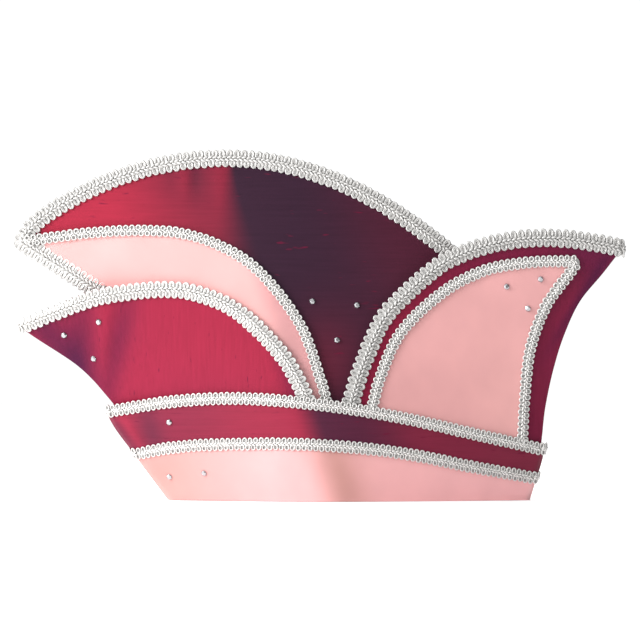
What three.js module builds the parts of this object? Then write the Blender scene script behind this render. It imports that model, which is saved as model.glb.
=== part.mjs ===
// A boat-shaped carnival cap: a folded crown with a beak, a low flap at the beak end, a tall fan flap at
// the other end and two bands round the rim, edged with silver braid and set with rhinestones.
// Millimetres, +Z up. The cap stands on its rim at z = 0 and both of its sides are alike.
// +X runs from the beak end to the fan end, and the cap's left side is the -Y side.
import * as THREE from "three";

const { lerp, clamp } = THREE.MathUtils;

// Driving sizes of the whole cap
const RIDGE_HEIGHT = 261;
const RIM_HALF_WIDTH = 54;
const CROWN_INSET = 3;
const SIDES_MEET_AT = 290;
const SIDE_FULLNESS = 1.35;
const CREASE_AT_RIM = 8;
const CREASE_AT_RIDGE = -69;
const CREASE_ROUNDING = 0.12;
const FLANK_BULGE = 0.3;
const RIDGE_FADE = 30;
const BEAK_FADE = 32;
const BAND_TUCK = 13;
const BAND_OVERLAP = 1;
const FLAPS_MEET_AT = 8;
const FLAP_REACH = { beak: -223.5, fan: 226.5 };

// Thicknesses across the cap, and the gap that separate layers keep
const LAYER_GAP = 0.5;
const SEAM_GAP = 0.3;
const SEAM_EDGE = 1.2;
const PANEL = 1.8;
const BAND = 1.9;
const APPLIQUE = 1.0;
const BRAID = 1.4;
const CROWN_SEAT = PANEL + LAYER_GAP;
const WIDE_BRAID = 12;
const NARROW_BRAID = 8.8;
const BRAID_OVERHANG = 3;
const BRAID_TIP_TAPER = 0.6;
const RIDGE_MITRE = 0.65 * WIDE_BRAID;
const BEAK_MITRE = 1.8 * WIDE_BRAID;
const BEAK_BRAID_STOP = 6;

// The ridge falls from the crease to each side as a power of the distance along the cap, and a second, steep
// power rounds it down at the beak's blunt tip
const RIDGE_FALL = 67.5;
const RIDGE_TO_BEAK = { run: 159.2, power: 2.1, tipFall: 10.5, tipPower: 25 };
const RIDGE_TO_FAN = { run: 165, power: 2, tipFall: 0, tipPower: 1 };
const RIDGE_BRAID_END = 112;

// Corners of the crown seen from the side: the beak's tip and root, and the feet of its two end edges
const BEAK_TIP = { x: CREASE_AT_RIDGE - RIDGE_TO_BEAK.run, z: RIDGE_HEIGHT - RIDGE_FALL };
const BEAK_ROOT = { x: -166.5, z: 151.5 };
const BEAK_FOOT = { x: -132, z: 54 };
const FAN_SHOULDER = { x: 162, z: 127.8 };
const FAN_FOOT = { x: 146, z: 30 };

// Rhinestones
const STONE_RADIUS = 2.35;
const STONE_HEIGHT = 1.5;
const STONE_GIRDLE = 0.5;
const STONE_TABLE = 0.55;
const STONE_SIDES = 8;

// Columns along the faceted walls and rows up them
const CROWN_ROWS = 8;
const BEAK_FLAP_GRID = { columns: 19, rows: 5 };
const FAN_FLAP_GRID = { columns: 18, rows: 6 };
const STRIPE_GRID = { columns: 34, rows: 2 };
const INLAY_GRID = { columns: 12, rows: 6 };
const BAND_GRID = { columns: 13, rows: 2 };
const BAND_COLUMN_EASING = 0.5;
const BRAID_COLUMNS = { ridge: 30, beak: 4, beakFlap: 20, fanFlap: 22, stripe: 24, inlay: 34 };

// End seams of the flaps, a row for each height; the bands share the one at the fan end
const END_SEAMS = [
  { z: 0, beak: -99.5, fan: 154.5 },
  { z: 35, beak: -125.5, fan: 165 },
  { z: 70, beak: -152, fan: 169.5 },
  { z: 100, beak: -180, fan: 176 },
  { z: 125, beak: -217, fan: 184 },
  { z: 150, beak: -251, fan: 196 },
  { z: 170, beak: -280, fan: 212.5 },
  { z: 190, beak: -309, fan: 228 },
];

// End seam of the bands at the beak end, which stands out past the flap's
const BAND_BEAK_END = [
  { z: 0, x: -109.5 },
  { z: 35, x: -135.5 },
  { z: 60, x: -153 },
  { z: 70, x: -156 },
];

// Middle lines of the braids on the two bands, a row for each place along the cap
const BAND_LINES = [
  { x: -160, upper: 66, lower: 29 },
  { x: -110, upper: 74, lower: 39.5 },
  { x: -60, upper: 76.5, lower: 42.5 },
  { x: 0, upper: 72, lower: 42 },
  { x: 60, upper: 62.5, lower: 36 },
  { x: 115, upper: 50, lower: 25.2 },
  { x: 170, upper: 37.5, lower: 15 },
];

// Middle line of the braid along each flap's upper edge
const BEAK_FLAP_EDGE = [
  { x: -224, z: 131 },
  { x: -194, z: 143 },
  { x: -164, z: 153 },
  { x: -119, z: 158.5 },
  { x: -89, z: 155 },
  { x: -59, z: 141 },
  { x: -29, z: 112 },
  { x: -14, z: 88 },
  { x: -8, z: 75 },
];
const FAN_FLAP_EDGE = [
  { x: 24, z: 75 },
  { x: 31, z: 98 },
  { x: 46, z: 133 },
  { x: 61, z: 151 },
  { x: 91, z: 177 },
  { x: 121, z: 190 },
  { x: 151, z: 196 },
  { x: 181, z: 196.5 },
  { x: 211, z: 192.5 },
  { x: 227, z: 189 },
];

// Sections across the crown, from the ridge down to its foot, with the panel columns up to the next one
const CROWN_SECTIONS = [
  { ridgeX: -227, footX: -226.5, columns: 2 },
  { ridgeX: -220, footX: -218, columns: 2 },
  { ridgeX: -196, footX: -196, columns: 3 },
  { ridgeX: -172, footX: BEAK_ROOT.x, columns: 2 },
  { ridgeX: -155, footX: lerp(BEAK_ROOT.x, BEAK_FOOT.x, 0.5), columns: 2 },
  { ridgeX: -140, footX: BEAK_FOOT.x, columns: 5 },
  { ridgeX: -90, footX: -40, columns: 6 },
  { ridgeX: -40, footX: 20, columns: 7 },
  { ridgeX: 60, footX: 96, columns: 5 },
  { ridgeX: FAN_SHOULDER.x, footX: FAN_FOOT.x, columns: 0 },
];

// Sections across the pink stripe on the crown, from its braid down to its foot behind the beak flap
const STRIPE_SECTIONS = [
  { x: -206, z: 196, footX: -204, footZ: 193.5 },
  { x: -179, z: 199.5, footX: -182, footZ: 177.6 },
  { x: -134, z: 202, footX: -150, footZ: 158 },
  { x: -104, z: 200, footX: -119, footZ: 147 },
  { x: -74, z: 190.5, footX: -89, footZ: 142 },
  { x: -44, z: 170.5, footX: -60, footZ: 143 },
  { x: -14, z: 131.5, footX: -32, footZ: 121.5 },
  { x: 1, z: 91, footX: -11, footZ: 90 },
  { x: 5.5, z: 75, footX: -5, footZ: 76 },
];

// Outline of the pink inlay on the fan flap: its upper edge and its end edge meet at one corner
const INLAY_TOP = [
  { x: 41, z: 75 },
  { x: 46, z: 93 },
  { x: 61, z: 125.5 },
  { x: 91, z: 154.5 },
  { x: 121, z: 171 },
  { x: 151, z: 177.5 },
  { x: 181, z: 179 },
  { x: 192, z: 177 },
];
const INLAY_FIRST_HEAD = 0.03;
const INLAY_END = [
  { x: 192, z: 177 },
  { x: 178, z: 157.5 },
  { x: 168.5, z: 142.5 },
  { x: 158, z: 112.5 },
  { x: 154, z: 75 },
  { x: 152.5, z: 46 },
];

// Rhinestones, placed on the layer that carries them
const STONES = [
  { on: "beak_flap", x: -191, z: 123.5 },
  { on: "beak_flap", x: -165, z: 133.5 },
  { on: "beak_flap", x: -169, z: 106 },
  { on: "crown", x: -5, z: 149 },
  { on: "crown", x: 28.5, z: 146 },
  { on: "crown", x: 13.5, z: 120 },
  { on: "inlay", x: 140.5, z: 160 },
  { on: "inlay", x: 166, z: 165.5 },
  { on: "inlay", x: 156.5, z: 143.5 },
  { on: "upper_band", x: -112, z: 58.5 },
  { on: "lower_band", x: -112, z: 17.5 },
  { on: "lower_band", x: -86, z: 20.5 },
];

const LEFT = { name: "left", sign: -1 };
const RIGHT = { name: "right", sign: 1 };

// Layers are offsets from a form's surface; each one lies just outside the layer that carries it
const above = (layer, thickness) => ({
  inner: layer.outer + LAYER_GAP,
  outer: layer.outer + LAYER_GAP + thickness,
});
const PANEL_LAYER = { inner: SEAM_EDGE - PANEL, outer: SEAM_EDGE };
const BAND_LAYER = above(PANEL_LAYER, BAND);
const BAND_BRAID_LAYER = above(BAND_LAYER, BRAID);
const EDGE_BRAID_LAYER = above(PANEL_LAYER, BRAID);
const APPLIQUE_LAYER = above(PANEL_LAYER, APPLIQUE);
const INLAY_BRAID_LAYER = above(APPLIQUE_LAYER, BRAID);
const STRIPE_BRAID_LAYER = above(EDGE_BRAID_LAYER, BRAID);

const silk = new THREE.MeshStandardMaterial({ color: "#8e2044", roughness: 0.45, metalness: 0.15 });
const satin = new THREE.MeshStandardMaterial({ color: "#eeb3b4", roughness: 0.4, metalness: 0.05 });
const silver = new THREE.MeshStandardMaterial({ color: "#dcdad8", roughness: 0.35, metalness: 0.6 });
const crystal = new THREE.MeshStandardMaterial({ color: "#e9edf3", roughness: 0.05, metalness: 0.3 });

// Smooth curve through one column of a table, read at a value of its key column
function readTable(table, key, column, at) {
  const last = table.length - 2;
  let row = 0;
  while (row < last && at > table[row + 1][key]) {
    row += 1;
  }
  const slope = (i) => (table[i + 1][column] - table[i][column]) / (table[i + 1][key] - table[i][key]);
  const start = table[row];
  const end = table[row + 1];
  const chord = slope(row);
  const startSlope = row > 0 ? (slope(row - 1) + chord) / 2 : chord;
  const endSlope = row < last ? (slope(row + 1) + chord) / 2 : chord;
  if (at <= start[key]) {
    return start[column] + startSlope * (at - start[key]);
  }
  if (at >= end[key]) {
    return end[column] + endSlope * (at - end[key]);
  }
  const span = end[key] - start[key];
  const t = (at - start[key]) / span;
  const rise = t * t * (3 - 2 * t);
  const fromStart = t * (1 - t) * (1 - t) * span * startSlope;
  const fromEnd = t * t * (t - 1) * span * endSlope;
  return lerp(start[column], end[column], rise) + fromStart + fromEnd;
}

const upperLine = (x) => readTable(BAND_LINES, "x", "upper", x);
const lowerLine = (x) => readTable(BAND_LINES, "x", "lower", x);
const bandFoot = (x) => upperLine(x) - BAND_TUCK;
const onLine = (from, to, z) => lerp(from.x, to.x, (z - from.z) / (to.z - from.z));
const steps = (count) => Array.from({ length: count + 1 }, (_, i) => i / count);

function ridgeZ(x) {
  const fall = x < CREASE_AT_RIDGE ? RIDGE_TO_BEAK : RIDGE_TO_FAN;
  const share = Math.abs(x - CREASE_AT_RIDGE) / fall.run;
  const slow = (RIDGE_FALL - fall.tipFall) * Math.pow(share, fall.power);
  return RIDGE_HEIGHT - slow - fall.tipFall * Math.pow(share, fall.tipPower);
}

function ridgeSlope(x) {
  const reach = 0.5;
  return (ridgeZ(x + reach) - ridgeZ(x - reach)) / (2 * reach);
}

const creaseX = (z) => lerp(CREASE_AT_RIM, CREASE_AT_RIDGE, z / RIDGE_HEIGHT);
const leaningIn = (z) => 1 - Math.pow(clamp(z / SIDES_MEET_AT, 0, 1), SIDE_FULLNESS);

// A form gives its two ends and its half-width at the crease for each height, and shapes the width between
// them: the hull is the outside of the flaps, the bands' form has its own beak end, and the crown stands inside
// the hull, fades to nothing at its ridge and beak, and flares out at its foot to the seam that joins it to the
// flaps and bands
const hull = {
  ends: (z) => ({
    beak: readTable(END_SEAMS, "z", "beak", z),
    fan: readTable(END_SEAMS, "z", "fan", z),
  }),
  crest: (z) => RIM_HALF_WIDTH * leaningIn(z),
  shape: (x, z, width) => width,
};

const bandHull = {
  ...hull,
  ends: (z) => ({ beak: readTable(BAND_BEAK_END, "z", "x", z), fan: hull.ends(z).fan }),
};

const crown = {
  ends: (z) => ({ beak: onLine(BEAK_FOOT, BEAK_TIP, z), fan: onLine(FAN_FOOT, FAN_SHOULDER, z) }),
  crest: (z) => (RIM_HALF_WIDTH - CROWN_INSET) * leaningIn(z),
  shape: (x, z, width) => {
    const ridge = Math.max(ridgeZ(x) - z, 0) / Math.hypot(1, ridgeSlope(x));
    const beak = Math.min(fromLine({ x, z }, BEAK_TIP, BEAK_ROOT), fromLine({ x, z }, BEAK_ROOT, BEAK_FOOT));
    const faded = width * (ridge / Math.hypot(ridge, RIDGE_FADE)) * (beak / Math.hypot(beak, BEAK_FADE));
    const seam = Math.max(faded, halfWidth(hull, x, z) - CROWN_SEAT);
    return lerp(seam, faded, clamp((z - bandFoot(x)) / BAND_TUCK, 0, 1));
  },
};

// Distance of a side-view point from a straight edge
function fromLine(point, from, to) {
  const edge = new THREE.Line3(new THREE.Vector3(from.x, 0, from.z), new THREE.Vector3(to.x, 0, to.z));
  const at = new THREE.Vector3(point.x, 0, point.z);
  return edge.closestPointToPoint(at, true, new THREE.Vector3()).distanceTo(at);
}

// Half-width of a form: a slightly bowed flank rises from each end and turns over at the rounded crease
function halfWidth(form, x, z) {
  const ends = form.ends(z);
  const crease = creaseX(z);
  const end = x < crease ? ends.beak : ends.fan;
  const away = 1 - clamp((x - end) / (crease - end), 0, 1);
  const rounded = (distance) => Math.hypot(distance, CREASE_ROUNDING) - CREASE_ROUNDING;
  const flank = 1 - lerp(rounded(away) / rounded(1), away * away, FLANK_BULGE);
  return form.shape(x, z, form.crest(z) * flank);
}

function onForm(form, point, side, offset) {
  const out = Math.max(halfWidth(form, point.x, point.z) + offset, SEAM_GAP / 2);
  return new THREE.Vector3(point.x, side.sign * out, point.z);
}

// Closed wall between an outer and an inner grid of points, by columns along the piece and rows up it;
// both grids are split along the shorter diagonal of the outer one
function wallGeometry(outer, inner, closedLoop = false) {
  const columns = outer.length;
  const rows = outer[0].length;
  const top = rows - 1;
  const spans = closedLoop ? columns : columns - 1;
  const faces = [];
  const out = (i, j) => (i % columns) * rows + j;
  const into = (i, j) => columns * rows + out(i, j);
  const points = [...outer.flat(), ...inner.flat()];
  const quad = (a, b, c, d) => faces.push(a, b, c, a, c, d);
  const reach = (a, b) => points[a].distanceTo(points[b]);
  for (let i = 0; i < spans; i += 1) {
    for (let j = 0; j < top; j += 1) {
      const rising = reach(out(i, j), out(i + 1, j + 1)) <= reach(out(i + 1, j), out(i, j + 1));
      if (rising) {
        quad(out(i, j), out(i + 1, j), out(i + 1, j + 1), out(i, j + 1));
        quad(into(i, j), into(i, j + 1), into(i + 1, j + 1), into(i + 1, j));
      } else {
        quad(out(i + 1, j), out(i + 1, j + 1), out(i, j + 1), out(i, j));
        quad(into(i + 1, j), into(i, j), into(i, j + 1), into(i + 1, j + 1));
      }
    }
    quad(into(i, 0), into(i + 1, 0), out(i + 1, 0), out(i, 0));
    quad(out(i, top), out(i + 1, top), into(i + 1, top), into(i, top));
  }
  if (!closedLoop) {
    for (let j = 0; j < top; j += 1) {
      quad(into(0, j), out(0, j), out(0, j + 1), into(0, j + 1));
      quad(out(spans, j), into(spans, j), into(spans, j + 1), out(spans, j + 1));
    }
  }
  const geometry = new THREE.BufferGeometry();
  geometry.setFromPoints(points);
  geometry.setIndex(faces);
  geometry.computeVertexNormals();
  return geometry;
}

function named(name, geometry, material) {
  const mesh = new THREE.Mesh(geometry, material);
  mesh.name = name;
  return mesh;
}

// Two like panels, one for each side, from a grid of side-view points
function panelPair(name, grid, form, layer, material) {
  return [LEFT, RIGHT].map((side) => {
    const columns = side === LEFT ? grid : [...grid].reverse();
    const surface = (offset) => columns.map((column) => column.map((p) => onForm(form, p, side, offset)));
    return named(`${name}_${side.name}`, wallGeometry(surface(layer.outer), surface(layer.inner)), material);
  });
}

const between = (from, to, t) => ({ x: lerp(from.x, to.x, t), z: lerp(from.z, to.z, t) });
const column = (foot, top, rows) => steps(rows).map((t) => between(foot, top, t));

const curveThrough = (table, x = "x", z = "z") =>
  new THREE.SplineCurve(table.map((row) => new THREE.Vector2(row[x], row[z])));

const sidePoint = (vector) => ({ x: vector.x, z: vector.y });

function crownFoot(x) {
  if (x < BEAK_ROOT.x) {
    return { x, z: lerp(BEAK_TIP.z, BEAK_ROOT.z, (x - BEAK_TIP.x) / (BEAK_ROOT.x - BEAK_TIP.x)) };
  }
  if (x < BEAK_FOOT.x) {
    return { x, z: lerp(BEAK_ROOT.z, BEAK_FOOT.z, (x - BEAK_ROOT.x) / (BEAK_FOOT.x - BEAK_ROOT.x)) };
  }
  return { x, z: bandFoot(x) };
}

function crownGrid() {
  const grid = [];
  CROWN_SECTIONS.forEach((section, i) => {
    const next = CROWN_SECTIONS[i + 1] ?? section;
    const count = Math.max(section.columns, 1);
    for (let k = 0; k < count; k += 1) {
      const topX = lerp(section.ridgeX, next.ridgeX, k / count);
      const foot = crownFoot(lerp(section.footX, next.footX, k / count));
      const top = { x: topX, z: ridgeZ(topX) };
      const flare = Math.min(BAND_TUCK / (top.z - foot.z), 1 / CROWN_ROWS);
      const rows = [0, ...steps(CROWN_ROWS - 1).map((t) => lerp(flare, 1, t))];
      grid.push(rows.map((t) => between(foot, top, t)));
    }
  });
  return grid;
}

// The end seams flare out with height, and each flap's tip is cut off upright
function flapEnd(end, z) {
  const seam = hull.ends(z)[end];
  return end === "beak" ? Math.max(seam, FLAP_REACH.beak) : Math.min(seam, FLAP_REACH.fan);
}

// Flap columns keep an even share of the way from the end seam to the crease at every height; past its
// upper edge a flap runs on behind the band until it meets the other flap
function flapGrid(edge, end, { columns, rows }) {
  const sign = end === "beak" ? -1 : 1;
  const edgeTop = (x) =>
    Math.max(readTable(edge, "x", "z", x) + BRAID_OVERHANG, upperLine(x) - BAND_OVERLAP);
  const along = (share, z) => lerp(flapEnd(end, z), creaseX(z), share);
  const meetX = FLAPS_MEET_AT + (sign * SEAM_GAP) / 2;
  const meetZ = upperLine(meetX) - BAND_TUCK / 2;
  const seam = flapEnd(end, meetZ);
  const meetShare = (meetX - seam) / (creaseX(meetZ) - seam);
  const grid = steps(columns).map((t) => {
    const share = t * meetShare;
    const foot = settle((z) => bandFoot(along(share, z)));
    const top = crossing((z) => z - edgeTop(along(share, z)), foot, RIDGE_HEIGHT);
    return steps(rows).map((v) => {
      const z = lerp(foot, top, v);
      return { x: along(share, z), z };
    });
  });
  return end === "beak" ? grid : grid.reverse();
}

// Height that a rule for heights leaves unchanged
function settle(rule) {
  const rounds = 20;
  let z = 0;
  for (let i = 0; i < rounds; i += 1) {
    z = rule(z);
  }
  return z;
}

// Height at which a rising value crosses zero
function crossing(value, low, high) {
  const halvings = 40;
  for (let i = 0; i < halvings; i += 1) {
    const middle = (low + high) / 2;
    if (value(middle) < 0) {
      low = middle;
    } else {
      high = middle;
    }
  }
  return low;
}

function stripeGrid({ columns, rows }) {
  const edge = curveThrough(STRIPE_SECTIONS);
  const foot = curveThrough(STRIPE_SECTIONS, "footX", "footZ");
  return steps(columns).map((t) => column(sidePoint(foot.getPoint(t)), sidePoint(edge.getPoint(t)), rows));
}

// The inlay's columns fan out from its narrow end, and bend towards its curved end edge
function inlayGrid({ columns, rows }) {
  const top = curveThrough(INLAY_TOP);
  const end = curveThrough([...INLAY_END].reverse());
  const first = INLAY_TOP[0].x;
  const last = INLAY_END[INLAY_END.length - 1].x;
  const bandTop = (x) => upperLine(x) + BAND_OVERLAP + LAYER_GAP;
  const straightEnd = column({ x: last, z: bandTop(last) }, INLAY_END[0], rows);
  return steps(columns).map((t) => {
    const footX = lerp(first, last, t);
    const head = sidePoint(top.getPointAt(lerp(INLAY_FIRST_HEAD, 1, t)));
    return column({ x: footX, z: bandTop(footX) }, head, rows).map((p, j) => {
      const bent = end.getPoint(j / rows);
      const share = t * t;
      return {
        x: p.x + share * (bent.x - straightEnd[j].x),
        z: p.z + share * (Math.max(bent.y, straightEnd[0].z) - straightEnd[j].z),
      };
    });
  });
}

// Two-row columns of a braid that follows a side-view curve and stays clear above the upper band's braid
function braidGrid(curve, width, count) {
  const bandTop = (x) => upperLine(x) + NARROW_BRAID / 2 + LAYER_GAP;
  return steps(count).map((t) => {
    const middle = curve.getPointAt(t);
    const ahead = curve.getTangentAt(t);
    return [-width / 2, width / 2].map((offset) => {
      const x = middle.x - ahead.y * offset;
      return { x, z: Math.max(middle.y + ahead.x * offset, bandTop(x)) };
    });
  });
}

// Braid along a flap's upper edge on both sides, folded round the flap's end seam
function wrappedBraid(name, edge, end, count) {
  const grid = braidGrid(curveThrough(edge), WIDE_BRAID, count);
  const sign = end === "beak" ? -1 : 1;
  const tip = end === "beak" ? grid[0] : grid[grid.length - 1];
  const tipMiddle = (tip[0].z + tip[1].z) / 2;
  tip.forEach((p) => {
    p.x = FLAP_REACH[end];
    p.z = lerp(tipMiddle, p.z, BRAID_TIP_TAPER);
  });
  const near = (offset) => grid.map((c) => c.map((p) => onForm(hull, p, LEFT, offset)));
  const far = (offset) => [...grid].reverse().map((c) => c.map((p) => onForm(hull, p, RIGHT, offset)));
  const fold = (offset) => [tip.map((p) => new THREE.Vector3(p.x + sign * offset, 0, p.z))];
  const surface = (offset) =>
    end === "beak"
      ? [...far(offset), ...fold(offset), ...near(offset)]
      : [...near(offset), ...fold(offset), ...far(offset)];
  const geometry = wallGeometry(surface(EDGE_BRAID_LAYER.outer), surface(EDGE_BRAID_LAYER.inner));
  return named(name, geometry, silver);
}

// Ring round the cap between two lines, folded at both end seams
function bandRing(name, lowLine, highLine, layer, rows, material) {
  const eased = steps(BAND_GRID.columns).map((t) => lerp(t, Math.sin((t * Math.PI) / 2), BAND_COLUMN_EASING));
  const place = (end, share, v) => {
    const along = (z) => lerp(bandHull.ends(z)[end], creaseX(z), share);
    const z = settle((height) => lerp(lowLine(along(height)), highLine(along(height)), v));
    return { x: along(z), z };
  };
  const upright = (end, share) => steps(rows).map((v) => place(end, share, v));
  const beakHalf = eased.map((share) => upright("beak", share));
  const fanHalf = eased.slice(0, -1).map((share) => upright("fan", share));
  const grid = [...beakHalf, ...fanHalf.reverse()];
  const fold = (points, sign, offset) => points.map((p) => new THREE.Vector3(p.x + sign * offset, 0, p.z));
  const surface = (offset) => [
    ...grid.map((points) => points.map((p) => onForm(bandHull, p, LEFT, offset))),
    fold(grid[grid.length - 1], 1, offset),
    ...[...grid].reverse().map((points) => points.map((p) => onForm(bandHull, p, RIGHT, offset))),
    fold(grid[0], -1, offset),
  ];
  return named(name, wallGeometry(surface(layer.outer), surface(layer.inner), true), material);
}

// Braid folded over a crown edge: each station has a point on the edge, the way out and the foot of its legs
function saddleBraid(name, stations) {
  const { inner, outer } = EDGE_BRAID_LAYER;
  const capAt = ({ edge, out }, side, offset) => {
    const lift = offset - SEAM_EDGE;
    return new THREE.Vector3(edge.x + out.x * lift, side.sign * offset, edge.z + out.z * lift);
  };
  const surface = (offset) =>
    stations.map((station) => [
      onForm(crown, station.foot, LEFT, offset),
      capAt(station, LEFT, offset),
      capAt(station, RIGHT, offset),
      onForm(crown, station.foot, RIGHT, offset),
    ]);
  return named(name, wallGeometry(surface(outer), surface(inner)), silver);
}

const ridgeStation = (x) => {
  const slope = ridgeSlope(x);
  const length = Math.hypot(1, slope);
  const out = { x: -slope / length, z: 1 / length };
  const edge = { x, z: ridgeZ(x) };
  return { edge, out, foot: { x: x - out.x * WIDE_BRAID, z: edge.z - out.z * WIDE_BRAID } };
};

const beakStation = (x) => {
  const length = Math.hypot(BEAK_ROOT.x - BEAK_TIP.x, BEAK_TIP.z - BEAK_ROOT.z);
  const out = { x: (BEAK_ROOT.z - BEAK_TIP.z) / length, z: (BEAK_TIP.x - BEAK_ROOT.x) / length };
  const edge = crownFoot(x);
  return { edge, out, foot: { x: x - out.x * WIDE_BRAID, z: edge.z - out.z * WIDE_BRAID } };
};

// The ridge and beak braids meet at the beak's tip along the line that halves its angle
function tipStation(station, shift) {
  const ridgeOut = ridgeStation(BEAK_TIP.x).out;
  const beakOut = beakStation(BEAK_TIP.x).out;
  const inward = new THREE.Vector2(-ridgeOut.x - beakOut.x, -ridgeOut.z - beakOut.z).normalize();
  const reach = WIDE_BRAID / -(inward.x * ridgeOut.x + inward.y * ridgeOut.z);
  const foot = { x: BEAK_TIP.x + inward.x * reach, z: BEAK_TIP.z + inward.y * reach + shift };
  const edge = { x: BEAK_TIP.x, z: BEAK_TIP.z + shift };
  return { edge, out: station.out, foot };
}

function ridgeBraid() {
  const start = BEAK_TIP.x + RIDGE_MITRE;
  const along = steps(BRAID_COLUMNS.ridge).map((t) => ridgeStation(lerp(start, RIDGE_BRAID_END, t)));
  return saddleBraid("ridge_braid", [tipStation(ridgeStation(BEAK_TIP.x), LAYER_GAP), ...along]);
}

function beakBraid() {
  const start = BEAK_ROOT.x - BEAK_BRAID_STOP;
  const along = steps(BRAID_COLUMNS.beak).map((t) => beakStation(lerp(start, BEAK_TIP.x + BEAK_MITRE, t)));
  return saddleBraid("beak_braid", [...along, tipStation(beakStation(BEAK_TIP.x), -LAYER_GAP)]);
}

// Flat-backed stone with a girdle, a ring of crown facets and a table
function stoneGeometry() {
  const profile = [
    new THREE.Vector2(0, 0),
    new THREE.Vector2(STONE_RADIUS, 0),
    new THREE.Vector2(STONE_RADIUS, STONE_GIRDLE),
    new THREE.Vector2(STONE_RADIUS * STONE_TABLE, STONE_HEIGHT),
    new THREE.Vector2(0, STONE_HEIGHT),
  ];
  return new THREE.LatheGeometry(profile, STONE_SIDES);
}

function stonePair(stone, number) {
  const form = { crown, upper_band: bandHull, lower_band: bandHull }[stone.on] ?? hull;
  const carriers = { inlay: APPLIQUE_LAYER, upper_band: BAND_LAYER, lower_band: BAND_LAYER };
  const base = (carriers[stone.on] ?? PANEL_LAYER).outer + LAYER_GAP;
  const reach = STONE_RADIUS;
  return [LEFT, RIGHT].map((side) => {
    const at = (dx, dz) => onForm(form, { x: stone.x + dx, z: stone.z + dz }, side, base);
    const along = at(reach, 0).sub(at(-reach, 0));
    const upward = at(0, reach).sub(at(0, -reach));
    const out = along.cross(upward).multiplyScalar(-side.sign).normalize();
    const mesh = named(`stone_${stone.on}_${number}_${side.name}`, stoneGeometry(), crystal);
    mesh.position.copy(at(0, 0));
    mesh.quaternion.setFromUnitVectors(new THREE.Vector3(0, 1, 0), out);
    return mesh;
  });
}

const shifted = (line, offset) => (x) => line(x) + offset;
const rim = () => 0;
const bandSeam = (sign) => shifted(lowerLine, (sign * SEAM_GAP) / 2);

const bands = new THREE.Group();
bands.add(
  bandRing("lower_band", rim, bandSeam(-1), BAND_LAYER, BAND_GRID.rows, satin),
  bandRing("upper_band", bandSeam(1), shifted(upperLine, BAND_OVERLAP), BAND_LAYER, BAND_GRID.rows, silk),
);

const panels = new THREE.Group();
panels.add(
  ...panelPair("crown_panel", crownGrid(), crown, PANEL_LAYER, silk),
  ...panelPair("crown_stripe", stripeGrid(STRIPE_GRID), crown, APPLIQUE_LAYER, satin),
  ...panelPair("beak_flap", flapGrid(BEAK_FLAP_EDGE, "beak", BEAK_FLAP_GRID), hull, PANEL_LAYER, silk),
  ...panelPair("fan_flap", flapGrid(FAN_FLAP_EDGE, "fan", FAN_FLAP_GRID), hull, PANEL_LAYER, silk),
  ...panelPair("fan_inlay", inlayGrid(INLAY_GRID), hull, APPLIQUE_LAYER, satin),
);

const stripeBraid = braidGrid(curveThrough(STRIPE_SECTIONS), NARROW_BRAID, BRAID_COLUMNS.stripe);
const inlayOutline = [...INLAY_TOP, ...INLAY_END.slice(1)];
const inlayBraid = braidGrid(curveThrough(inlayOutline), NARROW_BRAID, BRAID_COLUMNS.inlay);
const onBand = (name, line) => {
  const below = shifted(line, -NARROW_BRAID / 2);
  const beyond = shifted(line, NARROW_BRAID / 2);
  return bandRing(name, below, beyond, BAND_BRAID_LAYER, 1, silver);
};

const braids = new THREE.Group();
braids.add(
  ridgeBraid(),
  beakBraid(),
  ...panelPair("stripe_braid", stripeBraid, crown, STRIPE_BRAID_LAYER, silver),
  wrappedBraid("beak_flap_braid", BEAK_FLAP_EDGE, "beak", BRAID_COLUMNS.beakFlap),
  wrappedBraid("fan_flap_braid", FAN_FLAP_EDGE, "fan", BRAID_COLUMNS.fanFlap),
  ...panelPair("inlay_braid", inlayBraid, hull, INLAY_BRAID_LAYER, silver),
  onBand("upper_band_braid", upperLine),
  onBand("lower_band_braid", lowerLine),
);

const stones = new THREE.Group();
stones.add(...STONES.flatMap((stone, i) => stonePair(stone, i + 1)));

const cap = new THREE.Group();
cap.add(bands, panels, braids, stones);

export default cap;
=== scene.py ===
# %% [markdown]
# A carnival cap in shot silk, satin and gimp braid.
# The cap is a stiff, boat-shaped hat. Two silk panels fold into a crown with a beak, a low flap and a tall
# fan flap stand up round it, and two bands go round the rim. Silver braid covers the seams and edges.
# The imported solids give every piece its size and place. This script repeats the same few rules with many
# more points, adds soft folds, cord loops and cloth, and lets each fine piece stand for its plain solid.

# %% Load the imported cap
import math
from collections import namedtuple

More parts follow.
